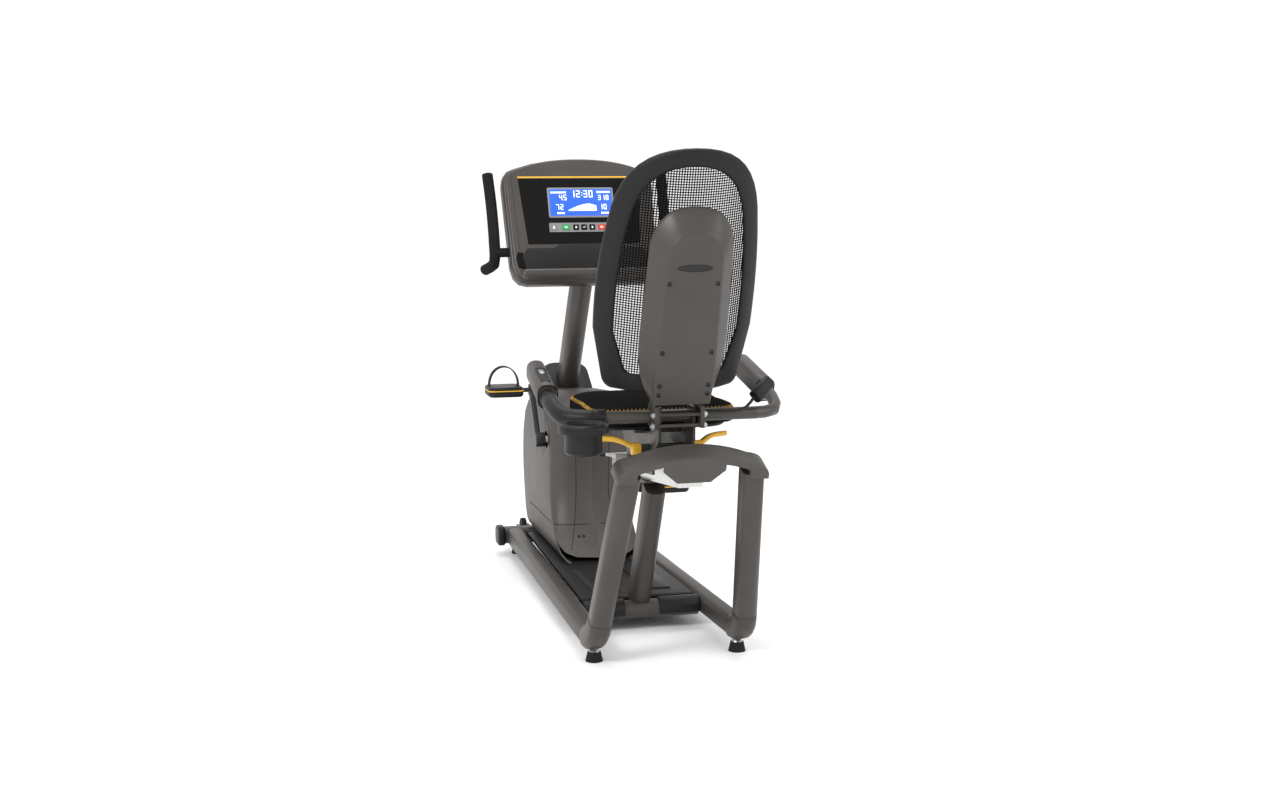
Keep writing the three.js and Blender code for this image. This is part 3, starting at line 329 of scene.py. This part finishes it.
def cover_ring(half, foot, high, n, steps=9):
    line = [(foot, cover_foot), (half, 0.12 * high, half, 0.32 * high), (half - 0.006, high - half),
            (half - 0.006, high - 0.44 * half, 0.55 * half, high - 0.12 * half), (0.27 * half, high + 0.01 * half, 0, high)]
    back_down = [(-0.27 * half, high + 0.01 * half, -0.55 * half, high - 0.12 * half),
                 (-half + 0.006, high - 0.44 * half, -half + 0.006, high - half), (-half, 0.32 * high),
                 (-half, 0.12 * high, -foot, cover_foot), line[0]]
    return [on_back(x, v, n, wrap=False) for x, v in follow(line + back_down, steps)]


cover_stations = [(0.104, 0.070, 0.493, 0.0125), (0.109, 0.073, 0.498, 0.0132), (0.111, 0.074, 0.500, 0.016),
                  (0.1105, 0.074, 0.4995, 0.019), (0.106, 0.074, 0.495, 0.025), (0.098, 0.074, 0.486, 0.035),
                  (0.088, 0.0735, 0.472, 0.047), (0.0815, 0.073, 0.460, 0.0545), (0.0775, 0.0725, 0.4525, 0.0590),
                  (0.0750, 0.0715, 0.4495, 0.0615), (0.0728, 0.0700, 0.4475, 0.0632), (0.0705, 0.068, 0.4455, 0.0638)]
piece("back_shell", skin([cover_ring(*station) for station in cover_stations]), bronze_paint, "seat_back",
      ["back_cover"], sharp=50)
screw_black = finish("screw_black", (0.010, 0.010, 0.010), (0.020, 0.020, 0.020), 0.25, metallic=0.5, fleck=800, specular=0.5)


def turned(profile, centre, axis, sides=28):
    """A turned piece: (along, radius) steps round an axis, closed at both ends."""
    axis = Vector(axis).normalized()
    across = axis.orthogonal().normalized()
    over = axis.cross(across)
    rings = []
    for along, radius in profile:
        rings.append([Vector(centre) + axis * along + (across * math.cos(a) + over * math.sin(a)) * radius
                      for a in (2 * math.pi * k / sides for k in range(sides))])
    return skin(rings)


def screw(name, centre, axis, radius, body, material):
    """A button-head screw with a hexagon socket."""
    r = radius
    head = turned([(-0.002, r * 0.95), (0, r), (0.28 * r, r * 0.97), (0.5 * r, r * 0.8), (0.6 * r, r * 0.52),
                   (0.6 * r, r * 0.42), (0.15 * r, r * 0.38)], centre, axis, 18)
    return piece(name, head, material, body)


behind = on_back(0, 0, 1, False) - on_back(0, 0, 0, False)
for x, v in ((0.060, 0.322), (0.062, 0.142), (0.062, 0.054), (0.062, 0.030)):
    for side in (-1, 1):
        label = "back_screw_%d_%s" % (round(v * 1000), "right" if side > 0 else "left")
        made = screw(label, on_back(side * x, v, 0.0638, False), behind, 0.0058, "seat_back", screw_black)
badge = bmesh.new()
badge_rows = []
for n, scale in ((0.0630, 1.0), (0.0648, 1.0), (0.0656, 0.96), (0.0656, 0.90), (0.0650, 0.88)):
    badge_rows.append([on_back(0.044 * scale * math.cos(a), 0.362 + (0.009 * scale) * math.sin(a), n, False)
                       for a in (2 * math.pi * k / 48 for k in range(48))])
made = piece("back_badge", skin(badge_rows), screw_black, "seat_back")

# ---- console head ----
# Two bronze mouldings, a deep rear shell and a face, with a thin yellow line over one black
# window. Below the window a black tray panel runs down to a bronze ledge that holds a book.
dress(["console_shell"], bronze_paint, bevel=0.004, angle=30)
mast_top = Vector((0, -0.4404, 0.9110))
tilt = math.radians(22)
face_centre = mast_top + Vector((0, -0.020, 0.224))


def on_face(x, v, n):
    """A point x to the rider's right, v up and n out of the console's face."""
    sin, cos = math.sin(tilt), math.cos(tilt)
    return Vector((-x, face_centre.y - v * sin + n * cos, face_centre.z + v * cos + n * sin))


def offset(points, distance):
    """Moves a closed outline inwards (counterclockwise outlines) by a distance."""
    out = []
    n = len(points)
    for i in range(n):
        before, here, after = Vector(points[i - 1]), Vector(points[i]), Vector(points[(i + 1) % n])
        first, second = (here - before), (after - here)
        if first.length < 1e-9 or second.length < 1e-9:
            first = second = after - before
        a, b = first.normalized(), second.normalized()
        normal = Vector((-(a.y + b.y), a.x + b.x)).normalized()
        lean = max(0.35, normal.dot(Vector((-a.y, a.x))))
        out.append(tuple(here + normal * distance / lean))
    return out


def slab(outline, low, high, place, ease=0.001):
    """A plate with a rounded upper edge, from n = low to n = high."""
    steps = [(0, low), (0, high - ease), (0.3 * ease, high - 0.3 * ease), (ease, high)]
    return skin([[place(x, v, n) for x, v in offset(outline, inset)] for inset, n in steps])


def oblong(x0, v0, x1, v1, radius, steps=5):
    """A rounded rectangle, counterclockwise."""
    corners = [(x1 - radius, v0 + radius, -90), (x1 - radius, v1 - radius, 0), (x0 + radius, v1 - radius, 90),
               (x0 + radius, v0 + radius, 180)]
    return [(cx + radius * math.cos(math.radians(start + 90 * k / steps)),
             cy + radius * math.sin(math.radians(start + 90 * k / steps)))
            for cx, cy, start in corners for k in range(steps + 1)]


def console_outline(inset, steps=8):
    w, low, top, shoulder = 0.234 - inset, -0.250 + inset, 0.146 - inset, 0.108 - inset
    half = [(w - 0.056, low), (w - 0.014, low, w - 0.008, low + 0.056), (w, shoulder - 0.044),
            (w, shoulder, w - 0.040, shoulder + 0.008), (w / 2, top, 0, top)]
    other = [(-w / 2, top, -w + 0.040, shoulder + 0.008), (-w, shoulder, -w, shoulder - 0.044),
             (-w + 0.008, low + 0.056), (-w + 0.014, low, -w + 0.056, low), half[0]]
    return follow(half + other, steps)


gloss_black = finish("gloss_black", (0.003, 0.003, 0.003), (0.005, 0.005, 0.005), 0.09, fleck=300, bump=0.0,
                     spread=0.02, specular=0.12)
yellow_plastic = finish("yellow_plastic", (0.62, 0.33, 0.012), (0.72, 0.40, 0.02), 0.42, fleck=1300, bump=0.3)
face_rings = []
for inset, n in ((0.007, 0.4), (0.007, 5), (0.0078, 8.5), (0.010, 10.6), (0.013, 11.4)):
    face_rings.append([on_face(x, v, n / 1000) for x, v in console_outline(inset)])
piece("console_face", skin(face_rings), bronze_paint, "frame", ["console_bezel"], sharp=50)
key_wells = [(-0.090, 0.009), (-0.052, 0.012), (-0.022, 0.0085), (0.003, 0.0085), (0.028, 0.0085), (0.058, 0.011)]


def pierced(rim, levels, low, high):
    """A plate from n = low to n = high with a well for each key; rim(v) is its half width at v."""
    bm = bmesh.new()
    breaks = [x + way * (half + 0.0005) for x, half in key_wells for way in (-1, 1)]
    grid = [[bm.verts.new(on_face(x, v, low)) for x in (-rim(v), *breaks, rim(v))] for v in levels]
    for row in range(len(levels) - 1):
        for column in range(len(breaks) + 1):
            if row != 1 or column % 2 == 0:
                bm.faces.new((grid[row][column], grid[row][column + 1], grid[row + 1][column + 1],
                              grid[row + 1][column]))
    top = bmesh.ops.extrude_face_region(bm, geom=bm.faces[:])
    bmesh.ops.translate(bm, vec=on_face(0, 0, high) - on_face(0, 0, low),
                        verts=[v for v in top["geom"] if isinstance(v, bmesh.types.BMVert)])
    return bm


window = pierced(lambda v: 0.172 + 0.0165 * (v + 0.134) / 0.208, (-0.134, -0.0911, -0.0729, 0.074), 0.0105, 0.0122)
piece("window_glass", window, gloss_black, "frame", ["display_window"])
stripe = [(-0.189, 0.0765), (0.189, 0.0765), (0.1895, 0.0815), (-0.1895, 0.0815)]
piece("window_stripe", slab(stripe, 0.0105, 0.0124, on_face, 0.0004), yellow_plastic, "frame")
tray_panel = [(-0.188, -0.214), (0.188, -0.214), (0.186, -0.160), (0.176, -0.146), (0.092, -0.146), (0.080, -0.1352),
              (-0.080, -0.1352), (-0.092, -0.146), (-0.176, -0.146), (-0.186, -0.160)]
piece("console_tray", slab(tray_panel, 0.0105, 0.0120, on_face, 0.0005), black_plastic, "frame")
ledge = oblong(-0.199, -0.2405, 0.199, -0.2135, 0.012)
ledge_rings = []
for inset, n in ((0.0, 9), (0.0, 20), (0.0012, 24), (0.004, 27), (0.009, 28)):
    ledge_rings.append([on_face(x, v, n / 1000) for x, v in offset(ledge, inset)])
piece("console_ledge", skin(ledge_rings), bronze_paint, "frame")
for side in (-1, 1):
    swoosh = [(0.186, -0.213), (0.207, -0.206), (0.2125, -0.180), (0.206, -0.158), (0.190, -0.160)]
    outline = [(side * x, v) for x, v in swoosh][::side]
    label = "right" if side > 0 else "left"
    piece("console_corner_" + label, slab(outline, 0.0105, 0.0185, on_face, 0.006), gloss_black, "frame")
    # Each groove is drawn as a thin black strip laid on the bronze face: painted shade in place of the recess.
    groove = [(side * x, v) for x, v in ((0.1985, -0.150), (0.1997, -0.150), (0.2097, 0.086), (0.2085, 0.086))][::side]
    piece("console_groove_" + label, slab(groove, 0.0105, 0.01150, on_face, 0.0001), black_plastic, "frame")

# ---- display and keys ----
# A blue backlit liquid-crystal display in a grey surround, with white seven-bar figures and a
# bar chart, and under it a grey key plate whose six caps each move on their own.
grey_plastic = finish("grey_plastic", (0.16, 0.165, 0.17), (0.20, 0.205, 0.21), 0.42, fleck=1300, bump=0.2)


def lit(name, colour, strength):
    """A back-lit surface with a faint cell pattern in it."""
    material = finish(name, colour, tuple(0.9 * c for c in colour), 0.35, fleck=2500, bump=0.0)
    shader = material.node_tree.nodes["Principled BSDF"]
    ramp = next(node for node in material.node_tree.nodes if node.type == "VALTORGB")
    material.node_tree.links.new(ramp.outputs["Color"], shader.inputs["Emission Color"])
    shader.inputs["Emission Strength"].default_value = strength
    return material


lcd_blue = lit("lcd_blue", (0.012, 0.075, 0.56), 0.85)
lcd_white = lit("lcd_white", (0.70, 0.78, 0.92), 0.9)
piece("lcd_surround", slab(oblong(-0.102, -0.051, 0.102, 0.045, 0.005), 0.0115, 0.0136, on_face, 0.0006), grey_plastic,
      "frame")
piece("lcd_glass", slab(oblong(-0.0965, -0.0455, 0.0965, 0.0395, 0.002), 0.0130, 0.0139, on_face, 0.0001), lcd_blue,
      "frame")
bars_lit = {"0": "abcdef", "1": "bc", "2": "abged", "3": "abgcd", "4": "fgbc", "5": "afgcd", "6": "afgedc", "7": "abc",
            "8": "abcdefg", "9": "abcdfg"}


def mark(bm, x0, v0, x1, v1, n):
    corners = [bm.verts.new(on_face(x, v, n)) for x, v in ((x0, v0), (x1, v0), (x1, v1), (x0, v1))]
    bm.faces.new(corners)


def figures(bm, text, x, v, height, n):
    """Seven-bar figures, their lower left corner at x, v."""
    width, bar = 0.52 * height, 0.13 * height
    for character in text:
        if character in bars_lit:
            places = {"a": (0, height - bar, width, height), "d": (0, 0, width, bar),
                      "g": (0, (height - bar) / 2, width, (height + bar) / 2), "b": (width - bar, height / 2, width, height),
                      "c": (width - bar, 0, width, height / 2), "e": (0, 0, bar, height / 2),
                      "f": (0, height / 2, bar, height)}
            for bar_name in bars_lit[character]:
                a, b, c, d = places[bar_name]
                mark(bm, x + a, v + b, x + c, v + d, n)
            x += 1.42 * width
        else:
            for level in (0.25, 0.62):
                mark(bm, x, v + level * height, x + bar, v + (level + 0.14) * height, n)
            x += 2.1 * bar


screen = bmesh.new()
for text, x, v, height in (("45", -0.066, 0.004, 0.0175), ("12:30", -0.030, 0.013, 0.0225), ("318", 0.0535, 0.004, 0.0165),
                           ("72", -0.078, -0.026, 0.0175), ("10", 0.056, -0.026, 0.0175)):
    figures(screen, text, x, v, height, 0.01405)
for x, v, count in ((-0.092, 0.026, 8), (0.0505, 0.027, 7), (-0.076, -0.040, 4), (0.060, -0.040, 4)):
    for k in range(count):
        mark(screen, x + k * 0.0062, v, x + k * 0.0062 + 0.0042, v + 0.0062, 0.01405)
for k in range(15):
    tall = 0.004 + 0.019 * math.sin(min(1.0, k / 11) * math.pi / 2) * (1 if k < 12 else 1 - 0.09 * (k - 11))
    mark(screen, -0.040 + k * 0.0058, -0.030, -0.040 + k * 0.0058 + 0.0050, -0.030 + tall, 0.01405)
piece("lcd_figures", screen, lcd_white, "frame")
key_plate = pierced(lambda v: 0.104, (-0.0965, -0.0911, -0.0729, -0.0675), 0.0115, 0.0130)
outer = [e for e in key_plate.edges if e.calc_length() < 0.002 and all(
    abs(abs(v.co.x) - 0.104) < 1e-4 and len(v.link_faces) == 3 for v in e.verts)]
bmesh.ops.bevel(key_plate, geom=outer, offset=0.004, offset_type="OFFSET", segments=4, profile=0.5, affect="EDGES",
                material=-1)
piece("key_plate", key_plate, grey_plastic, "frame")
key_black = finish("key_black", (0.004, 0.004, 0.004), (0.007, 0.007, 0.007), 0.35, fleck=900, specular=0.12)
key_green = finish("green_plastic", (0.010, 0.26, 0.055), (0.015, 0.31, 0.07), 0.38, fleck=900)
key_red = finish("red_plastic", (0.52, 0.018, 0.012), (0.60, 0.025, 0.015), 0.38, fleck=900)
icon_white = finish("icon_white", (0.75, 0.75, 0.75), (0.85, 0.85, 0.85), 0.5, fleck=900)
icons = {
    "profile_key": [[(-3, -4), (3, -4), (3, 0), (0, 1.4), (-3, 0)], [(-1.6, 2), (1.6, 2), (1.6, 5), (-1.6, 5)]],
    "start_key": [[(-5, -3.6), (0, 0), (-5, 3.6)], [(0, -3.6), (5, 0), (0, 3.6)]],
    "down_key": [[(0, -4), (4, 0.6), (-4, 0.6)], [(-1.3, 0.6), (1.3, 0.6), (1.3, 4), (-1.3, 4)]],
    "enter_key": [[(-4, 0.4), (-1.2, -3.6), (-0.9, -1.2), (-3, 1.6)], [(-1.2, -3.6), (4.4, 3), (3.2, 4), (-0.9, -1.2)]],
    "up_key": [[(-4, -0.6), (4, -0.6), (0, 4)], [(-1.3, -4), (1.3, -4), (1.3, -0.6), (-1.3, -0.6)]],
    "stop_key": [[(-4.5, -3.2), (0, -3.2), (0, 3.2), (-4.5, 3.2)], [(1.2, -3.2), (4.6, 0), (1.2, 3.2)]],
}
caps = [("profile_key", -90, 18, grey_plastic), ("start_key", -52, 24, key_green), ("down_key", -22, 17, key_black),
        ("enter_key", 3, 17, key_black), ("up_key", 28, 17, key_black), ("stop_key", 58, 22, key_red)]
for name, x, width, material in caps:
    x, half = x / 1000, width / 2000
    cap = slab(oblong(x - half, -0.0905, x + half, -0.0735, 0.002), 0.0110, 0.0144, on_face, 0.0008)
    piece(name + "_cap", cap, material, name, [name])
    sign = bmesh.new()
    for shape in icons[name]:
        corners = [sign.verts.new(on_face(x + a / 1000, -0.082 + b / 1000, 0.01446)) for a, b in shape]
        sign.faces.new(corners)
    piece(name + "_sign", sign, icon_white, name)

# ---- handlebar ----
# One bent steel tube behind the console, sleeved in dipped black foam up to its rounded ends, with a ribbed rubber stub
# where each side leaves the console; the whole node, stubs and all, is given the foam finish.
black_foam = finish("black_foam", (0.006, 0.006, 0.006), (0.013, 0.013, 0.013), 0.82, fleck=1100, bump=0.5, specular=0.12)
dress(["handlebar"], black_foam)

# ---- arch and shrouds ----
# Thick moulded covers in the same bronze as the tubes: the saddle that joins the rear legs, with
# rolled edges, and the two drive shrouds that meet on a seam down the middle.
bronze_cover = finish("bronze_cover", (0.040, 0.0345, 0.031), (0.060, 0.053, 0.0475), 0.47, metallic=0.15, fleck=1300,
                      bump=0.22)
dress(["arch_cover"], bronze_cover, bevel=0.0035, angle=40)
dress(["shroud_left", "shroud_right"], bronze_cover, bevel=0.0012, angle=40)


def skin_of(nodes):
    """A search tree over some CAD nodes' surfaces."""
    whole = bmesh.new()
    for name in nodes:
        whole.from_mesh(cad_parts[name].data)
    tree = BVHTree.FromBMesh(whole)
    whole.free()
    return tree

# ---- arms, grips and cup holder ----
# A bronze steel tube bent round the seat; its left end has a moulded grip with pulse plates and a
# key, its right end a plain grip. The cup holder is a black moulding clamped to the left bend.
dress(["arm_tube"], bronze_paint)
dress(["grip_left", "grip_right"], bronze_cover, bevel=0.004)


def tube(path, radii, sides=20, looped=False):
    """Rings of the given radii square to a path of points."""
    rings = []
    count = len(path)
    for k, point in enumerate(path):
        before = path[k - 1] if (k or looped) else point
        after = path[(k + 1) % count] if (k < count - 1 or looped) else point
        way = (after - before).normalized()
        across = way.cross(Vector((0, 0, 1)))
        across = across.normalized() if across.length > 0.05 else way.cross(Vector((0, 1, 0))).normalized()
        over = across.cross(way)
        radius = radii[k] if isinstance(radii, list) else radii
        rings.append([point + (across * math.cos(a) + over * math.sin(a)) * radius
                      for a in (2 * math.pi * j / sides for j in range(sides))])
    return skin(rings, looped=looped)


def smooth(points, steps=6):
    """Points along a Catmull-Rom curve through the given ones."""
    points = [Vector(p) for p in points]
    ends = [2 * points[0] - points[1], *points, 2 * points[-1] - points[-2]]
    out = []
    for a, b, c, d in zip(ends, ends[1:], ends[2:], ends[3:]):
        for k in range(steps):
            t = k / steps
            out.append(0.5 * (2 * b + (c - a) * t + (2 * a - 5 * b + 4 * c - d) * t * t
                              + (3 * b - a - 3 * c + d) * t ** 3))
    return out + [points[-1]]


arm_points = [(0.200, 0.608, 0.637), (0.224, 0.608, 0.637), (0.274, 0.574, 0.640), (0.290, 0.512, 0.659),
              (0.2896, 0.468, 0.6695)]
fairing_path = smooth(arm_points, 6)
fairing_radii = [0.0205 + 0.0022 * math.sin(math.pi * k / (len(fairing_path) - 1)) - 0.0012 * (k in (0, len(fairing_path) - 1))
                 for k in range(len(fairing_path))]
piece("cup_fairing", tube(fairing_path, fairing_radii, 28), black_plastic, "seat")
for side, label in ((1, "left"), (-1, "right")):
    grip_start, grip_end = Vector((side * 0.2898, 0.463, 0.670)), Vector((side * 0.284, 0.276, 0.713))
    along = (grip_end - grip_start).normalized()
    up = (Vector((0, 0, 1)) - along * along.z).normalized()
    beside = along.cross(up)
    middle = (grip_start + grip_end) / 2

    def on_grip(a, b, n):
        return middle + along * a + beside * b + up * n

    if side > 0:
        plate = [(-0.052, -0.0125), (0.040, -0.0155), (0.052, -0.008), (0.052, 0.008), (0.040, 0.0155), (-0.052, 0.0125)]
        piece("pulse_plate", slab(plate, 0.0285, 0.0316, on_grip, 0.0012), black_plastic, "seat")
        piece("pulse_window", slab(oblong(0.004, -0.007, 0.036, 0.007, 0.006), 0.0300, 0.0322, on_grip, 0.0008),
              turned_steel, "seat")
    ring = [on_grip(-0.084, b, n) for b, n in oblong(-0.0243, -0.0303, 0.0243, 0.0303, 0.020)]
    piece("grip_collar_" + label, tube(ring, 0.0022, 8, looped=True), black_rubber, "seat")
dress(["cup_holder"], black_plastic, bevel=0.002)
dress(["grip_key"], yellow_plastic, bevel=0.0005)

# ---- levers ----
# The two seat-position levers are glass-filled nylon in signal yellow, keyed to one cross shaft.
# The recline lever is a thin bent rod with a black knob.
dress(["position_lever_left", "position_lever_right"], yellow_plastic, bevel=0.002)
dress(["recline_lever"], black_plastic, bevel=0.002)

# ---- pedals ----
# Wide black platforms with a ribbed tread and a yellow line round them, and a ribbed rubber
# strap over the toes.
dress(["pedal_left", "pedal_right"], black_plastic, bevel=0.0015)
dress(["pedal_strap_left", "pedal_strap_right"], black_rubber, bevel=0.0006)
for side, label in ((1, "left"), (-1, "right")):
    low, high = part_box("pedal_" + label)
    centre = (Vector(low) + Vector(high)) / 2
    reach = (Vector(high) - Vector(low)) / 2

    def on_pedal(x, y, n):
        return centre + Vector((x, y, n))

    hoop = [on_pedal(x, y, 0.004) for x, y in oblong(-reach.x + 0.001, -reach.y + 0.001, reach.x - 0.001,
                                                    reach.y - 0.001, 0.014)]
    piece("pedal_line_" + label, tube(hoop, 0.0020, 8, looped=True), yellow_plastic, label + "_pedal")
    for k in range(-4, 5):
        y = 0.0095 * k
        rib = slab(oblong(-reach.x + 0.012, y - 0.0028, reach.x - 0.012, y + 0.0028, 0.002), reach.z - 0.004,
                   reach.z - 0.0001, on_pedal, 0.001)
        piece("pedal_rib_%s_%d" % (label, k + 4), rib, black_rubber, label + "_pedal")

# ---- seat cushion ----
# A moulded foam pad in black woven upholstery cloth: a flat-sewn wall round the side, a crowned
# top, and a yellow zigzag seam just inside its upper edge.
black_fabric = finish("black_fabric", (0.006, 0.006, 0.006), (0.014, 0.014, 0.014), 0.85, fleck=500, bump=0.2, specular=0.0)
weave_links, weave_nodes = black_fabric.node_tree.links, black_fabric.node_tree.nodes
mapping = next(node for node in weave_nodes if node.type == "MAPPING")
threads = []
for direction in ("X", "Y"):
    thread = weave_nodes.new("ShaderNodeTexWave")
    thread.wave_type, thread.bands_direction = "BANDS", direction
    thread.inputs["Scale"].default_value = 160
    thread.inputs["Distortion"].default_value = 0.6
    weave_links.new(mapping.outputs["Vector"], thread.inputs["Vector"])
    threads.append(thread)
crossing = weave_nodes.new("ShaderNodeMath")
crossing.operation = "MULTIPLY"
weave_links.new(threads[0].outputs["Fac"], crossing.inputs[0])
weave_links.new(threads[1].outputs["Fac"], crossing.inputs[1])
cloth_relief = next(node for node in weave_nodes if node.type == "BUMP")
cloth_relief.inputs["Strength"].default_value = 0.5
weave_links.new(crossing.outputs[0], cloth_relief.inputs["Height"])

pad_low, pad_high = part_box("seat_cushion")
pad_half, pad_front, pad_rear, pad_bottom, pad_top = pad_high[0], pad_low[1], pad_high[1], pad_low[2], pad_high[2]


def pad_outline(inset):
    """The cushion's plan, round at the front corners and squarer at the back."""
    w, front, rear, r, q = pad_half - inset, pad_front + inset, pad_rear - inset, 0.095 - inset, 0.070 - inset
    middle = (front + rear) / 2
    half = [(0, front - 0.002), (w - r, front), (w, front, w + 0.000, front + r), (w - 0.006, middle), (w, rear - q),
            (w, rear, w - q, rear)]
    other = [(-w + q, rear), (-w, rear, -w, rear - q), (-w + 0.006, middle), (-w, front + r), (-w, front, -w + r, front),
             (0, front - 0.002)]
    return follow(half + other, 8)


profile = [(0.016, 0.000), (0.007, 0.002), (0.004, 0.009), (0.004, 0.030), (0.005, 0.038), (0.011, 0.0435), (0.030, 0.0465),
           (0.060, 0.048), (0.090, 0.0485)]
pad_rings = [[Vector((x, y, pad_bottom + 0.001 + z)) for x, y in pad_outline(inset)] for inset, z in profile]
pad = piece("cushion_pad", skin(pad_rings), black_fabric, "seat", ["seat_cushion"], sharp=180)


def applied(made):
    """Turns the piece's modifiers into its mesh."""
    shape = bpy.data.meshes.new_from_object(made.evaluated_get(bpy.context.evaluated_depsgraph_get()))
    paint = made.data.materials[0]
    shape.materials.clear()
    shape.materials.append(paint)
    shape.polygons.foreach_set("material_index", [0] * len(shape.polygons))
    made.modifiers.clear()
    made.data = shape


remesh = pad.modifiers.new("remesh", "REMESH")
remesh.mode, remesh.voxel_size, remesh.use_smooth_shade = "VOXEL", 0.006, True
applied(pad)
before = [v.co.copy() for v in pad.data.vertices]
cloth = pad.modifiers.new("cloth", "CLOTH")
cloth.settings.use_pressure = True
cloth.settings.uniform_pressure_force = 4
cloth.settings.effector_weights.gravity = 0
cloth.point_cache.frame_start, cloth.point_cache.frame_end = 1, 20
for step in range(1, 21):
    bpy.context.scene.frame_set(step)
applied(pad)
bpy.context.scene.frame_set(1)
most = 0.006
for vertex, start in zip(pad.data.vertices, before):
    moved = vertex.co - start
    if moved.length > most:
        vertex.co = start + moved * (most / moved.length)
    vertex.co.z = max(vertex.co.z, pad_bottom + 0.0006)
divide = pad.modifiers.new("divide", "SUBSURF")
divide.levels = divide.render_levels = 1
applied(pad)
pad.data.polygons.foreach_set("use_smooth", [True] * len(pad.data.polygons))

pad_mesh = bmesh.new()
pad_mesh.from_mesh(pad.data)
pad_tree = BVHTree.FromBMesh(pad_mesh)
pad_mesh.free()
seam_line = []
inner, outer = pad_outline(0.0165), pad_outline(0.0115)
lengths = [0.0]
for a, b in zip(outer, outer[1:] + outer[:1]):
    lengths.append(lengths[-1] + math.dist(a, b))
stitches = 2 * round(lengths[-1] / 0.0105)
for k in range(stitches):
    along = lengths[-1] * k / stitches
    i = max(j for j in range(len(outer)) if lengths[j] <= along)
    t = (along - lengths[i]) / max(1e-9, lengths[i + 1] - lengths[i])
    ring = inner if k % 2 else outer
    x, y = Vector(ring[i]).lerp(Vector(ring[(i + 1) % len(ring)]), t)
    hit = pad_tree.ray_cast(Vector((x, y, 0.75)), Vector((0, 0, -1)))[0]
    seam_line.append((hit if hit else Vector((x, y, pad_top))) + Vector((0, 0, 0.0006)))
thread = finish("yellow_thread", (0.42, 0.20, 0.010), (0.56, 0.29, 0.02), 0.7, fleck=1500, bump=0.3)
piece("cushion_stitching", tube(seam_line, 0.0010, 5, looped=True), thread, "seat", sharp=180)

# ---- shroud seams and screws ----
# The shrouds carry moulded shut-lines and a step round the foot; black socket screws sit in
# pairs beside the lines and hold the halves to the bracket.
shroud_tree = skin_of(["shroud_left", "shroud_right"])
crank_line = (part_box("crank_pulley")[0][1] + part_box("crank_pulley")[1][1]) / 2


def round_shroud(angle, z):
    """The point on the shroud's skin in a direction (0 is to the rear, 90 to the rider's left)."""
    way = Vector((math.sin(math.radians(angle)), math.cos(math.radians(angle)), 0))
    centre = Vector((0, crank_line - 0.05, z))
    hit, normal = shroud_tree.ray_cast(centre + way * 0.6, -way)[:2]
    return (hit, normal) if hit else (centre + way * 0.1, way)


# The step round the foot is drawn as a thin black cord on the bronze skin: painted shade along the step.
foot_step = [round_shroud(a, 0.182)[0] for a in range(-150, 151, 5)]
piece("shroud_step", tube(foot_step, 0.0011, 6), black_rubber, "frame")
for side, label in ((1, "left"), (-1, "right")):
    shut_line = [round_shroud(side * 21, 0.10 + 0.4 * k / 24)[0] for k in range(25)]
    piece("shroud_seam_" + label, tube(shut_line, 0.0009, 6), black_rubber, "frame")
    for angle, z in ((12, 0.385), (16, 0.385), (12, 0.150), (16, 0.150)):
        hit, normal = round_shroud(side * angle, z)
        name = "shroud_screw_%s_%d_%d" % (label, angle, round(z * 1000))
        made = screw(name, hit - normal * 0.0008, normal, 0.0050, "frame", screw_black)

# ---- foot necks and back bolts ----
# Each levelling foot has a bright conical nut over its rubber pad. Zinc hexagon nuts clamp the
# rods that join the seat-back brackets.
for end in ("rear", "front"):
    for label in sides:
        low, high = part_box("%s_foot_%s" % (end, label))
        centre = Vector(((low[0] + high[0]) / 2, (low[1] + high[1]) / 2, 0))
        neck = turned([(0.0245, 0.0155), (0.0265, 0.0150), (0.0300, 0.0115), (0.0335, 0.0100), (0.0335, 0.0078)],
                      centre, (0, 0, 1), 24)
        piece("foot_neck_%s_%s" % (end, label), neck, turned_steel, "%s_%s_foot" % (end, label))
for side, label in ((1, "left"), (-1, "right")):
    for y, z in ((0.652, 0.645), (0.648, 0.617)):
        start = Vector((side * 0.0630, y, z))
        nut = turned([(0, 0.0085), (0.0055, 0.0085), (0.0065, 0.0078), (0.0065, 0.0045), (0.0100, 0.0042)], start,
                     (side, 0, 0), 6)
        piece("back_nut_%s_%d" % (label, round(z * 1000)), nut, turned_steel, "seat_back")
